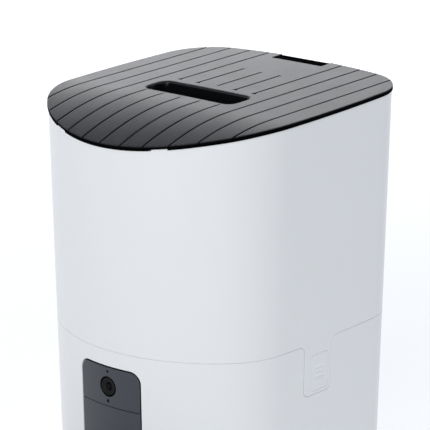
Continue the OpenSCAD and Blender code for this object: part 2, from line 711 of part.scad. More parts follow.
module steel_bowl() {
    t = 0.9;
    low = 4.3;
    fillet = 9;
    lean = 1.5;
    top = bowl_top;
    r = bowl_r;
    out = concat([[0, low]], [for (a = [0:15:90]) [r - lean - fillet + fillet * sin(a), low + fillet - fillet * cos(a)]],
        [[r, top - t], [r + 3, top - t], [r + 3.5, top - t / 2], [r + 3, top], [r - t, top]]);
    in = concat([for (a = [90:-15:0]) [r - lean - fillet + (fillet - t) * sin(a), low + fillet - (fillet - t) * cos(a)]],
        [[0, low + t]]);
    half = concat(out, in);
    color("silver") translate([0, bowl_y, 0]) union() {
        for (s = [0, 180]) rotate([0, 0, s - 90]) translate([0, bowl_span / 2, 0])
            rotate_extrude(angle = 180, $fn = 96) polygon(half);
        along_x(-bowl_span / 2, bowl_span / 2) union() {
            polygon(half);
            mirror([1, 0]) polygon(half);
        }
    }
}

// Inner box behind a side tab, which holds its button's spring
module tab_box(s) {
    difference() {
        button_prism(s, 1.8, 83.6, 90);
        button_prism(s, 0.4, 85, 91);
    }
}

module button_prism(s, e, x0, x1) {
    mirror([s < 0 ? 1 : 0, 0, 0]) along_x(x0, x1) translate(button_mid)
        polygon(rr(button_y1 - button_y0 + 2 * e, button_z1 - button_z0 + 2 * e, 2.5 + e));
}

module tank_shell() {
    low = seam_z - tab_h - 2;
    drop = band_h + rim_gap;
    color("white") difference() {
        union() {
            difference() {
                wall([ring(low, 0), rim(drop, 0), rim(drop, tank_wall), ring(low, tank_wall)]);
                difference() {
                    block([-120, -120, low - 1], [120, 180, seam_z]);
                    along_x(-121, 121) tab_shape(0);
                }
            }
            for (s = [-1, 1]) tab_box(s);
            wall([ring(seam_z, tank_wall - 0.5), ring(seam_z + 2, tank_wall - 0.5),
                circle_ring(seam_z + 2, 62, rotor_y), circle_ring(seam_z, 62, rotor_y)]);
            for (s = [-1, 1]) intersection() {
                wall([rim(drop + 1, 0), rim(drop - 0.8, 0.1), rim(drop - 0.8, 1.2), rim(drop + 1, 1.2)]);
                block([s * 42 - 5, front_y - 2, 250], [s * 42 + 5, front_y + 30, 330]);
            }
        }
        for (s = [-1, 1]) button_prism(s, 0.3, 86, 100);
    }
}

module hopper() {
    top = 7.6;
    gap = tank_wall + 0.8;
    t = neck_wall;
    color("white") wall([rim(top, gap), ring(208, gap), circle_ring(160, neck_r + t, rotor_y),
        circle_ring(137, neck_r + t, rotor_y), circle_ring(137, neck_r, rotor_y),
        circle_ring(160.6, neck_r, rotor_y), ring(208.6, gap + t), rim(top, gap + t)]);
}

module release_button() {
    color("white") union() {
        intersection() {
            wall([ring(112, 0), ring(150, 0), ring(150, 1.9), ring(112, 1.9)]);
            button_prism(1, 0, 86, 100);
        }
        translate([87.4, button_mid.x, button_mid.y]) rotate([0, 90, 0]) cylinder(h = 3, r = 2.4);
    }
}

module right_release_button() {
    release_button();
}

module left_release_button() {
    mirror([1, 0, 0]) release_button();
}

module release_spring() {
    color("silver") translate([85.1, button_mid.x, button_mid.y]) rotate([0, 90, 0]) coil(3.4, 0.35, 4, 4.3);
}

module right_release_spring() {
    release_spring();
}

module left_release_spring() {
    mirror([1, 0, 0]) release_spring();
}

// Straight cut that follows the lid's fall, from y0 to y1, down to a drop
module groove(k, y0, y1) {
    x = k * groove_pitch;
    side = [for (i = [0:8]) let (y = y0 + (y1 - y0) * i / 8) [y, lid_top(x, y)]];
    along_x(x - groove_w / 2, x + groove_w / 2) polygon(concat([for (p = side) p - [0, groove_depth]],
        [for (i = [8:-1:0]) side[i] + [0, 2]]));
}

module grip_prism(e, z0, z1) {
    translate([0, grip_y, z0]) linear_extrude(z1 - z0)
        polygon(rr(grip_w + 2 * e, grip_l + 2 * e, 6.5 + e));
}

notch_floor = lid_top(0, rear_y) - 6.7;
module lid_cover() {
    grip_floor = lid_top(0, grip_y) - grip_depth;
    color("dimgray") difference() {
        union() {
            difference() {
                slab(-lid_edge, band_h, 0);
                slab(tank_wall - 0.2, band_h + 3, 2.2);
            }
            difference() {
                union() {
                    grip_prism(1.8, grip_floor - 1.8, lid_z - 1.2);
                    for (p = lid_posts) translate([p.x, p.y, lid_top(p.x, p.y) - 7.6]) cylinder(h = 6.4, r = 3.2);
                    block([-notch_half_w - 1.6, notch_y - 1.6, notch_floor - 0.8],
                        [notch_half_w + 1.6, rear_y - 3.6, lid_top(0, rear_y) - 1]);
                }
                slab(-2, -8, 1);
            }
        }
        grip_prism(0, grip_floor, lid_z + 20);
        block([-notch_half_w, notch_y, notch_floor], [notch_half_w, rear_y + 5, total_h + 5]);
        for (p = lid_posts) translate([p.x, p.y, lid_top(p.x, p.y) - 9]) cylinder(h = 6, r = 1.1, $fn = 24);
        for (k = [-5:5]) {
            if (abs(k) > 2) groove(k, front_y - 1, rear_y + 1);
            else {
                groove(k, front_y - 1, grip_y - grip_l / 2 - 6);
                groove(k, grip_y + grip_l / 2 + 9.5, abs(k) == 2 ? rear_y + 1 : body_y + 53);
            }
        }
        for (s = [-1, 1]) intersection() {
            wall([rim(band_h + 2, -2), rim(band_h - 1, -2), rim(band_h - 1, 1.7), rim(band_h + 2, 1.7)]);
            block([s * 42 - 5.4, front_y - 3, 250], [s * 42 + 5.4, front_y + 30, 330]);
        }
    }
}

module lid_liner() {
    grip_floor = lid_top(0, grip_y) - grip_depth;
    color("white") difference() {
        union() {
            difference() {
                slab(7.2, 14, 2.4);
                slab(9, 20, 10.4);
                slab(9, 8.6, -5);
            }
            difference() {
                grip_prism(3.8, grip_floor - 3.9, lid_z - 9);
                slab(-2, 8.6, -9);
            }
            block([-notch_half_w - 5, notch_y - 4.2, notch_floor - 4],
                [notch_half_w + 5, rear_y - 9, notch_floor - 1.6]);
            block([-notch_half_w - 5, notch_y - 4.2, notch_floor - 4],
                [notch_half_w + 5, notch_y - 2.4, lid_top(0, notch_y) - 2.8]);
        }
        grip_prism(2.1, grip_floor - 2.1, lid_z + 20);
        block([-notch_half_w - 2, notch_y - 2, notch_floor - 1.6], [notch_half_w + 2, rear_y + 5, 320]);
        for (p = lid_posts) translate([p.x, p.y, lid_top(p.x, p.y) - 14]) cylinder(h = 8, r = 1.6, $fn = 32);
    }
}

module lid_gasket() {
    color("gainsboro") difference() {
        slab(tank_wall + neck_wall + 1.8, 12.6, 9.2);
        slab(7.2, 20, -5);
    }
}

module lid_screws() {
    color("silver") for (p = lid_posts) translate([p.x, p.y, lid_top(p.x, p.y) - 11.6]) screw(1.05, 2.4, 1.2, 8);
}

module lid_latch_button() {
    y0 = notch_y + 3.2;
    top = lid_top(0, rear_y) - 1.2;
    shelf = lid_top(0, rear_y) - band_h + 0.3;
    color("black") difference() {
        along_x(-notch_half_w + 0.7, notch_half_w - 0.7) polygon([[y0, notch_floor + 0.2],
            [rear_y - 2.8, notch_floor + 0.2], [rear_y - 2.8, shelf], [rear_y, shelf],
            [rear_y, top - 0.4], [rear_y - 0.5, top], [y0 + 5, top], [y0 + 4.5, top - 0.7],
            [y0 + 3, top - 0.7], [y0 + 2.5, top], [y0, top]]);
        for (x = [-11, 11]) translate([x, y0 - 1, notch_floor + 2.9]) rotate([-90, 0, 0])
            cylinder(h = 4.6, r = 2.3, $fn = 32);
    }
}

module lid_latch_springs() {
    color("silver") for (x = [-11, 11]) translate([x, notch_y + 0.1, notch_floor + 2.9])
        rotate([-90, 0, 0]) coil(1.6, 0.25, 4, 6.5);
}

desiccant_top = lid_top(0, desiccant_y) - 11.5;
module desiccant_case() {
    color("gainsboro") translate([0, desiccant_y, desiccant_top]) mirror([0, 0, 1]) difference() {
        cylinder(h = 14, r = desiccant_r, $fn = 96);
        translate([0, 0, 1.6]) cylinder(h = 20, r = desiccant_r - 1.6, $fn = 96);
    }
}

module desiccant_cover() {
    color("white") translate([0, desiccant_y, desiccant_top - 14.3]) mirror([0, 0, 1]) difference() {
        union() {
            rotate_extrude($fn = 96) polygon([[0, 0], [desiccant_r, 0], [desiccant_r, 1.4],
                [desiccant_r - 0.8, 2.2], [0, 2.2]]);
            translate([0, 0, -3]) difference() {
                cylinder(h = 3.1, r = desiccant_r - 2, $fn = 96);
                translate([0, 0, -1]) cylinder(h = 6, r = desiccant_r - 3.4, $fn = 96);
            }
            block([-12, -1.2, 2], [12, 1.2, 5]);
        }
        for (a = [0:30:330]) rotate([0, 0, a + 15]) block([9, -0.9, -5], [24, 0.9, 5]);
    }
}

base_shell();
bottom_plate();
rubber_feet();
bottom_screws();
base_deck();
deck_screws();
rotor_housing();
outlet_chute();
food_sensors();
gear_case();
gear_motor();
main_board();
speaker();
front_panel_upper();
front_panel_lower();
camera_ring();
camera_lens();
camera_board();
status_light();
button_board();
battery_case();
battery_cells();
battery_contacts();
power_socket();
feed_button();
feed_button_spring();
rotor_hub();
rotor_vanes();
rotor_shaft();
drive_gear();
motor_pinion();
battery_door();
bowl_tray();
tray_feet();
steel_bowl();
tank_shell();
hopper();
right_release_button();
left_release_button();
right_release_spring();
left_release_spring();
lid_cover();
lid_liner();
lid_gasket();
lid_screws();
lid_latch_button();
lid_latch_springs();
desiccant_case();
desiccant_cover();
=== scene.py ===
import json
import math
import bmesh
import bpy
import numpy as np
from mathutils import Matrix, Vector
from mathutils.geometry import delaunay_2d_cdt


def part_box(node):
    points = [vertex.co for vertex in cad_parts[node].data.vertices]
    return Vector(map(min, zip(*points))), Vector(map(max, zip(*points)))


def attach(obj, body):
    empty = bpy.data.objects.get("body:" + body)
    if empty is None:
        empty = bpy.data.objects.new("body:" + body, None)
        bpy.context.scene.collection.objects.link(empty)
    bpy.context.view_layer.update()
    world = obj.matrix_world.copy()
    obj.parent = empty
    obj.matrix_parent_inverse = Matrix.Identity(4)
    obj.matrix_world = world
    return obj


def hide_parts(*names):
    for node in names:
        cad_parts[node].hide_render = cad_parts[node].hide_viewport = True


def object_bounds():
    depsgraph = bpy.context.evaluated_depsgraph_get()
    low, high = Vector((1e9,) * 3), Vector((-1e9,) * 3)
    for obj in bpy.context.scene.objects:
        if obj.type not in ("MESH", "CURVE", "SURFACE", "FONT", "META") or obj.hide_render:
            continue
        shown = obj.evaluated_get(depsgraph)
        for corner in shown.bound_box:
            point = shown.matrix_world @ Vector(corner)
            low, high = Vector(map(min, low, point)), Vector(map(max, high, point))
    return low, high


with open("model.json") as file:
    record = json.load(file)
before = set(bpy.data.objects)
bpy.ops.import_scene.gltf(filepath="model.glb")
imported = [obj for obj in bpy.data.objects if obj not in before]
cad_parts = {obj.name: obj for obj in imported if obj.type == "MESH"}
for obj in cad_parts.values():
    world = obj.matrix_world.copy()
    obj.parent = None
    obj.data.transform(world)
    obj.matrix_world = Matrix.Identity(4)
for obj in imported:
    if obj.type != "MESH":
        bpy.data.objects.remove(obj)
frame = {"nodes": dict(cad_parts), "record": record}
cad_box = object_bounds()

# ---------------------------------------------------------------- sizes, in millimetres
MM = 0.001
LID_EDGE = 0.58         # the lid's overhang past the tank's outline
DRAFT = 0.0205          # how far the walls lean in per unit of height
LID_SLOPE = 0.0321      # the lid's rise per unit towards the rear
LID_CROWN = 0.0001585   # the lid's fall towards the sides, times X squared
NOSE_R = 189.2          # radius of the lid's fall towards the front
NOSE_START = 33.7       # how far in front of the middle that fall starts
BAND_H = 2.86           # the black band along the lid's edge
RIM_GAP = 0.24          # between that band and the tank's wall
GROOVE_PITCH = 16
TANK_WALL = 2.2
BASE_WALL = 2.4
SEAM_GAP = 0.12
TANK_LAP = 36           # how far the tank's side tabs reach below the seam
PANEL_GAP = 0.45
PANEL_CORNER = 7.5
DOOR_GAP = 0.35
DOOR_CORNER = 4
SOCKET_R = 4.3
SOUND_HOLE_R = 1
NOTCH_HALF_W = 21.5
LIP = 1.4               # edge radius of the grip pocket
FULL_SHADE_DEPTH = 0.9        # a track this deep gets full painted shade


def mm_box(node):
    """Lowest and highest corner of a CAD node, in millimetres."""
    low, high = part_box(node)
    return low / MM, high / MM


def middle(node):
    """Middle of a CAD node, in millimetres."""
    low, high = mm_box(node)
    return (low + high) / 2


# The outline: five tangent arcs from the front centre to the rear centre, right half
ARC_R = [110.4, 58.8, 1019.0, 36.4]
ARC_H = np.radians([0, 43.6, 87.6, 93.0, 172.66, 180])
side_x = sum((ARC_R[i - 1] - ARC_R[i]) * math.sin(ARC_H[i]) for i in (1, 2, 3))
ARC_R = np.array(ARC_R + [ARC_R[3] + side_x / math.sin(ARC_H[4])])
ARC_C = [np.array([0.0, ARC_R[0]])]
for i in range(1, 5):
    toward = np.array([math.sin(ARC_H[i]), -math.cos(ARC_H[i])])
    ARC_C.append(ARC_C[-1] + (ARC_R[i - 1] - ARC_R[i]) * toward)
ARC_C = np.array(ARC_C)
ARC_S = np.concatenate([[0], np.cumsum(ARC_R * np.diff(ARC_H))])
S_END = ARC_S[-1]
body_d = ARC_C[4][1] + ARC_R[4]
total_h = cad_box[1].z / MM
notch_sag = ARC_R[4] - math.sqrt(ARC_R[4] ** 2 - NOTCH_HALF_W ** 2)
body_y = cad_box[1].y / MM - LID_EDGE - body_d / 2 + notch_sag
front_y = body_y - body_d / 2
rear_y = body_y + body_d / 2
ARC_C[:, 1] += front_y
lid_z = total_h - LID_SLOPE * (body_d / 2 + LID_EDGE)
nose_y = body_y - NOSE_START
seam_z = mm_box("tank_shell")[0].z + TANK_LAP
tab_y0, tab_y1, tab_r, tab_fillet = body_y - 10.5, body_y + 17, 4.5, 5.5
rotor_y = body_y + 5
grip_y = body_y - 11
grip_w, grip_l, grip_r, grip_depth = 76, 23, 6.5, 20
notch_y = body_y + 90.7
panel_low, panel_high = mm_box("front_panel_lower")[0].z, mm_box("front_panel_upper")[1].z
panel_half_w = mm_box("front_panel_upper")[1].x
split_z = (mm_box("front_panel_lower")[1].z + mm_box("front_panel_upper")[0].z) / 2
camera_z, light_z, feed_z = middle("camera_ring").z, middle("status_light").z, middle("feed_button").z
mic_z = camera_z + 10.5
mouth_half_w, mouth_low, mouth_high, mouth_r = 27, 39, 72, 8
door_low, door_high = mm_box("battery_door")[0].z - DOOR_GAP, mm_box("battery_door")[1].z + DOOR_GAP
door_half_w = mm_box("battery_door")[1].x + DOOR_GAP
socket_z, speaker_z = middle("power_socket").z, middle("speaker").z
bowl_y = middle("steel_bowl").y


def inset(z):
    """How far the walls have leaned inward at height z."""
    return DRAFT * (lid_z - z)


def on_outline(s, depth):
    """X and Y at arc length s from the front centre, a depth inside the outline."""
    s = np.asarray(s, float)
    i = np.clip(np.searchsorted(ARC_S, s, side="right") - 1, 0, 4)
    h = ARC_H[i] + (s - ARC_S[i]) / ARC_R[i]
    r = ARC_R[i] - depth
    return ARC_C[i, 0] + r * np.sin(h), ARC_C[i, 1] - r * np.cos(h)


def fall(y):
    """The lid's drop towards the front."""
    run = np.maximum(nose_y - y, 0)
    return NOSE_R - np.sqrt(NOSE_R ** 2 - run ** 2)


def lid_top(x, y):
    """Height of the lid's upper surface."""
    return lid_z + LID_SLOPE * (y - body_y) - LID_CROWN * x * x - fall(y)


def wall_at(uv, depth):
    """Points of the wall from arc length and height."""
    x, y = on_outline(uv[:, 0], inset(uv[:, 1]) + depth)
    return np.stack([x, y, uv[:, 1]], 1)


def lid_at(uv, depth):
    """Points of the lid from X and Y."""
    return np.stack([uv[:, 0], uv[:, 1], lid_top(uv[:, 0], uv[:, 1]) - depth], 1)


def front_s(x, z):
    """Arc length at which the front wall is x wide."""
    return ARC_R[0] * np.arcsin(x / (ARC_R[0] - inset(z)))


def rear_s(x, z):
    """Arc length at which the rear wall is x wide."""
    return S_END - ARC_R[4] * np.arcsin(x / (ARC_R[4] - inset(z)))


S_TABLE = np.linspace(0, S_END, 3000)
Y_TABLE = on_outline(S_TABLE, inset(seam_z))[1]


def side_s(y):
    """Arc length at which the side wall reaches y."""
    return np.interp(y, Y_TABLE, S_TABLE)


# ---------------------------------------------------------------- paths in a plane
def arc(cx, cy, r, a0, a1, n=6):
    """An arc about a centre, its angles in degrees."""
    a = np.radians(np.linspace(a0, a1, n + 1))
    return np.stack([cx + r * np.cos(a), cy + r * np.sin(a)], 1)


def rounded(x0, y0, x1, y1, r, n=6):
    """Rounded rectangle, anticlockwise from its lower right corner."""
    return np.concatenate([arc(x1 - r, y0 + r, r, -90, 0, n), arc(x1 - r, y1 - r, r, 0, 90, n),
                           arc(x0 + r, y1 - r, r, 90, 180, n), arc(x0 + r, y0 + r, r, 180, 270, n)])


def half_rounded(w, y0, y1, r, n=6):
    """Right half of a rounded rectangle on the Y axis, from its lower to its upper middle."""
    return np.concatenate([[[0, y0]], arc(w - r, y0 + r, r, -90, 0, n),
                           arc(w - r, y1 - r, r, 0, 90, n), [[0, y1]]])


def fine(path, step, closed=False):
    """The path with extra points, no further apart than step."""
    ends = np.roll(path, -1, 0) if closed else path[1:]
    out = []
    for a, b in zip(path, ends):
        n = max(1, math.ceil(np.hypot(*(b - a)) / step))
        out += [a + (b - a) * k / n for k in range(n)]
    if not closed:
        out.append(path[-1])
    return np.array(out)


def shifted(path, d, closed):
    """The path moved to its left by d."""
    nxt = np.roll(path, -1, 0) - path
    prv = path - np.roll(path, 1, 0)
    if not closed:
        nxt[-1] = prv[-1]
        prv[0] = nxt[0]
    turn = []
    for v in (prv, nxt):
        v = v / np.maximum(np.linalg.norm(v, axis=1, keepdims=True), 1e-9)
        turn.append(np.stack([-v[:, 1], v[:, 0]], 1))
    both = turn[0] + turn[1]
    return path + d * both * 2 / np.maximum((both ** 2).sum(1, keepdims=True), 0.5)


def distance(points, path, closed=False):
    """Shortest distance from each point to the path."""
    a = path if closed or len(path) == 1 else path[:-1]
    b = np.roll(path, -1, 0) if closed else path[1:] if len(path) > 1 else path
    best = np.full(len(points), 1e9)
    for p, q in zip(a, b):
        v = q - p
        t = np.clip(((points - p) @ v) / max(v @ v, 1e-12), 0, 1)
        gap = points - p - t[:, None] * v
        best = np.minimum(best, (gap * gap).sum(1))
    return np.sqrt(best)


def inside(points, polygon):
    """Whether each point lies in the polygon."""
    hit = np.zeros(len(points), bool)
    for (ax, ay), (bx, by) in zip(polygon, np.roll(polygon, -1, 0)):
        span = (ay > points[:, 1]) != (by > points[:, 1])
        x = ax + (points[:, 1] - ay) * (bx - ax) / (by - ay if by != ay else 1)
        hit ^= span & (points[:, 0] < x)
    return hit


# ---------------------------------------------------------------- mesh building
ROUND_STEPS = (0, 30, 60, 90)   # degrees round each rounded edge
SHARP_ANGLE = 44


def new_mesh():
    """A mesh with the layers that skin and finish_piece use."""
    bm = bmesh.new()
    bm.verts.layers.float_vector.new("flat")
    bm.verts.layers.float.new("dark")
    bm.faces.layers.int.new("skin")
    return bm


def skin(bm, place, outer, holes=(), edges=(), dents=(), step=(3, 6), thick=2.0, open_at=(), halves=2):
    """A shell over a region of a plane, with rounded edges and sunk tracks.

    edges are (path, closed, radius) with the material on the left, dents are (path, closed, profile)
    with the profile as (distance, depth) pairs from the path outwards, and halves is 2 to mirror it."""
    lines = [(outer, True)] + [(h, True) for h in holes]
    for path, closed, r in edges:
        lines += [(shifted(path, r * (1 - math.cos(math.radians(a))), closed), closed)
                  for a in ROUND_STEPS[1:]]
    for path, closed, profile in dents:
        for away, _ in profile:
            if closed:
                lines.append((shifted(path, away, True), True))
            elif away == 0:
                lines.append((path, False))
            else:
                back = shifted(path[::-1], away, False)
                lines.append((np.concatenate([shifted(path, away, False), back]), True))
    low, high = outer.min(0), outer.max(0)
    grid = np.stack(np.meshgrid(np.arange(low[0] + step[0] / 2, high[0], step[0]),
                                np.arange(low[1] + step[1] / 2, high[1], step[1])), -1).reshape(-1, 2)
    near = np.full(len(grid), 1e9)
    for path, closed in lines:
        near = np.minimum(near, distance(grid, path, closed))
    grid = grid[near > min(step) * 0.45]
    points, links = [], []
    for path, closed in lines:
        n, at = len(path), len(points)
        points += [Vector(p) for p in path]
        links += [(at + k, at + (k + 1) % n) for k in range(n if closed else n - 1)]
    points += [Vector(p) for p in grid]
    verts, _, faces, *_ = delaunay_2d_cdt(points, links, [], 0, 1e-4)
    uv = np.array([tuple(v) for v in verts])
    tris = np.array(faces)
    mid = uv[tris].mean(1)
    keep = inside(mid, outer)
    for h in holes:
        keep &= ~inside(mid, h)
    tris = tris[keep]
    used = np.unique(tris)
    remap = np.full(len(uv), -1)
    remap[used] = np.arange(len(used))
    uv, tris = uv[used], remap[tris]
    depth = np.zeros(len(uv))
    for path, closed, r in edges:
        d = np.clip(r - distance(uv, path, closed), 0, r)
        depth = np.maximum(depth, r - np.sqrt(r * r - d * d))
    # Painted shade, kept in the dark attribute: the deeper a track sinks, the darker it is painted.
    shade = np.zeros(len(uv))
    for path, closed, profile in dents:
        away, sink = zip(*profile)
        sunk = np.interp(distance(uv, path, closed), away, sink)
        depth = np.maximum(depth, sunk)
        shade = np.maximum(shade, np.clip(sunk / FULL_SHADE_DEPTH, 0, 1))
    flat = depth < 1e-6
    e = 0.01
    du = place(uv + [e, 0], 0) - place(uv - [e, 0], 0)
    dv = place(uv + [0, e], 0) - place(uv - [0, e], 0)
    normal = np.cross(du, dv)
    normal /= np.linalg.norm(normal, axis=1, keepdims=True)
    front = place(uv, depth)
    deep = thick(uv) if callable(thick) else thick
    back = place(uv, deep)
    pairs = {}
    for t in tris:
        for k in range(3):
            pairs[(t[k], t[(k + 1) % 3])] = True
    rim = [p for p in pairs if (p[1], p[0]) not in pairs]
    rim_mid = np.array([(uv[a] + uv[b]) / 2 for a, b in rim])
    shut = np.ones(len(rim), bool)
    if halves == 2:
        shut &= ~np.array([abs(front[a][0]) < 1e-3 and abs(front[b][0]) < 1e-3 for a, b in rim])
    for path in open_at:
        shut &= distance(rim_mid, path) > 1e-3
    flat_key, painted_shade_key = bm.verts.layers.float_vector["flat"], bm.verts.layers.float["dark"]
    skin_key = bm.faces.layers.int["skin"]
    for side in ([1, -1] if halves == 2 else [halves]):
        size = np.array([side, 1, 1])
        tops = [bm.verts.new(p * size) for p in front]
        for v, value in zip(tops, shade):
            v[painted_shade_key] = value
        unders = [bm.verts.new(p * size) for p in back]
        for v, n, ok in zip(tops, normal, flat):
            v[flat_key] = Vector(n * size) if ok else Vector()
        for t in tris:
            bm.faces.new([tops[k] for k in t[::side]])[skin_key] = 1
            bm.faces.new([unders[k] for k in t[::-side]])
        for (a, b), ok in zip(rim, shut):
            if ok:
                bm.faces.new([tops[b], tops[a], unders[a], unders[b]][::side])
                # Painted shade: each shut rim side is fully dark, standing in for the shadow in the gap
                # beside it.
                tops[a][painted_shade_key] = tops[b][painted_shade_key] = 1
        # Painted shade: the whole underside is fully dark.
        for v in unders:
            v[painted_shade_key] = 1
    if halves == 2:
        bmesh.ops.remove_doubles(bm, verts=bm.verts, dist=1e-4)
    return bm


def loft(bm, rings, closed=True, cap=(False, False), dark=0):
    """Faces between rings of points, with the first and last ring filled if cap says so."""
    rows = [[bm.verts.new(p) for p in ring] for ring in rings]
    # Painted shade: dark sets the same shade on every point of the rings.
    if dark:
        for v in [v for row in rows for v in row]:
            v[bm.verts.layers.float["dark"]] = dark
    n = len(rows[0])
    for low, high in zip(rows, rows[1:]):
        for k in range(n if closed else n - 1):
            bm.faces.new([low[k], low[(k + 1) % n], high[(k + 1) % n], high[k]])
    if cap[0]:
        bm.faces.new(rows[0][::-1])
    if cap[1]:
        bm.faces.new(rows[-1])
    return rows


def level(path, z):
    """A plane path as points at height z."""
    return np.column_stack([path, np.broadcast_to(z, len(path))])


def mirrored(x, y, z):
    """The right half's points from centre to centre, and their mirror, as one loop."""
    x = np.where(np.abs(x) < 1e-6, 0, x)
    z = np.broadcast_to(z, len(x))
    return np.column_stack([np.r_[x, -x[-2:0:-1]], np.r_[y, y[-2:0:-1]], np.r_[z, z[-2:0:-1]]])


def soften(profile, r, n=3):
    """The closed profile with its corners rounded, apart from those on the axis."""
    out = []
    profile = np.asarray(profile, float)
    for k, p in enumerate(profile):
        a, b = profile[k - 1] - p, profile[(k + 1) % len(profile)] - p
        la, lb = np.hypot(*a), np.hypot(*b)
        cut = min(r, la * 0.45, lb * 0.45)
        if p[0] == 0 or cut < 1e-6:
            out.append(p)
            continue
        a, b = p + a / la * cut, p + b / lb * cut
        for t in np.linspace(0, 1, n + 1):
            out.append((1 - t) ** 2 * a + 2 * t * (1 - t) * p + t * t * b)
    return np.array(out)


def lathe(bm, profile, centre, axis="z", n=64, r=0.0):
    """A closed profile of (radius, distance along the axis) turned about an axis."""
    profile = soften(profile, r) if r else np.asarray(profile, float)
    turn = {"x": Matrix.Rotation(math.radians(90), 3, "Y"), "z": Matrix.Identity(3),
            "y": Matrix.Rotation(math.radians(-90), 3, "X")}[axis]
    rings = []
    for k in range(n):
        a = 2 * math.pi * k / n
        rings.append([turn @ Vector((q[0] * math.cos(a), q[0] * math.sin(a), q[1])) + Vector(centre)
                      for q in profile])
    add_ring(bm, rings)


def add_ring(bm, rings):
    """Joins rings of points that close on themselves, as one closed part."""
    part = new_mesh()
    loft(part, rings + [rings[0]])
    bmesh.ops.remove_doubles(part, verts=part.verts, dist=1e-4)
    add(bm, part)


def add(bm, part):
    """Joins a closed part to a mesh, with its faces outwards."""
    bmesh.ops.recalc_face_normals(part, faces=part.faces)
    mesh = bpy.data.meshes.new("part")
    part.to_mesh(mesh)
    part.free()
    bm.from_mesh(mesh)
    bpy.data.meshes.remove(mesh)


def slab_between(bm, path, z0, z1, r=0.5, place=None):
    """A plate of a closed plane path, with rounded upper and lower edges."""
    part = new_mesh()
    rings = []
    for a in ROUND_STEPS:
        c, s = math.cos(math.radians(a)), math.sin(math.radians(a))
        rings.append((r * (1 - s), z0 + r * (1 - c)))
    rings += [(d, z0 + z1 - z) for d, z in rings[::-1]]
    rings = [level(shifted(path, d, True), z) for d, z in rings]
    if place:
        rings = [[place(p) for p in ring] for ring in rings]
    loft(part, rings, cap=(True, True))
    add(bm, part)


def finish_piece(bm, name, body, finish, *stands_for):
    """Turns a mesh in millimetres into a piece in metres that rides on a body."""
    flat_key = bm.verts.layers.float_vector["flat"]
    skin_key = bm.faces.layers.int["skin"]
    bmesh.ops.dissolve_degenerate(bm, dist=1e-5, edges=bm.edges)
    normals = [tuple(loop.vert[flat_key]) if face[skin_key] else (0, 0, 0)
               for face in bm.faces for loop in face.loops]
    bmesh.ops.scale(bm, vec=(MM, MM, MM), verts=bm.verts)
    mesh = bpy.data.meshes.new(name)
    bm.to_mesh(mesh)
    bm.free()
    mesh.shade_smooth()
    mesh.set_sharp_from_angle(angle=math.radians(SHARP_ANGLE))
    if any(n != (0, 0, 0) for n in normals):
        mesh.normals_split_custom_set(normals)
    for key in ("flat", "skin"):
        if key in mesh.attributes:
            mesh.attributes.remove(mesh.attributes[key])
    piece = bpy.data.objects.new(name, mesh)
    bpy.context.scene.collection.objects.link(piece)
    mesh.materials.append(finish.material)
    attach(piece, body)
    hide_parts(*stands_for)


# ---------------------------------------------------------------- materials
DULL_ROUGH = 0.85
PLAIN_SHINE = 0.5


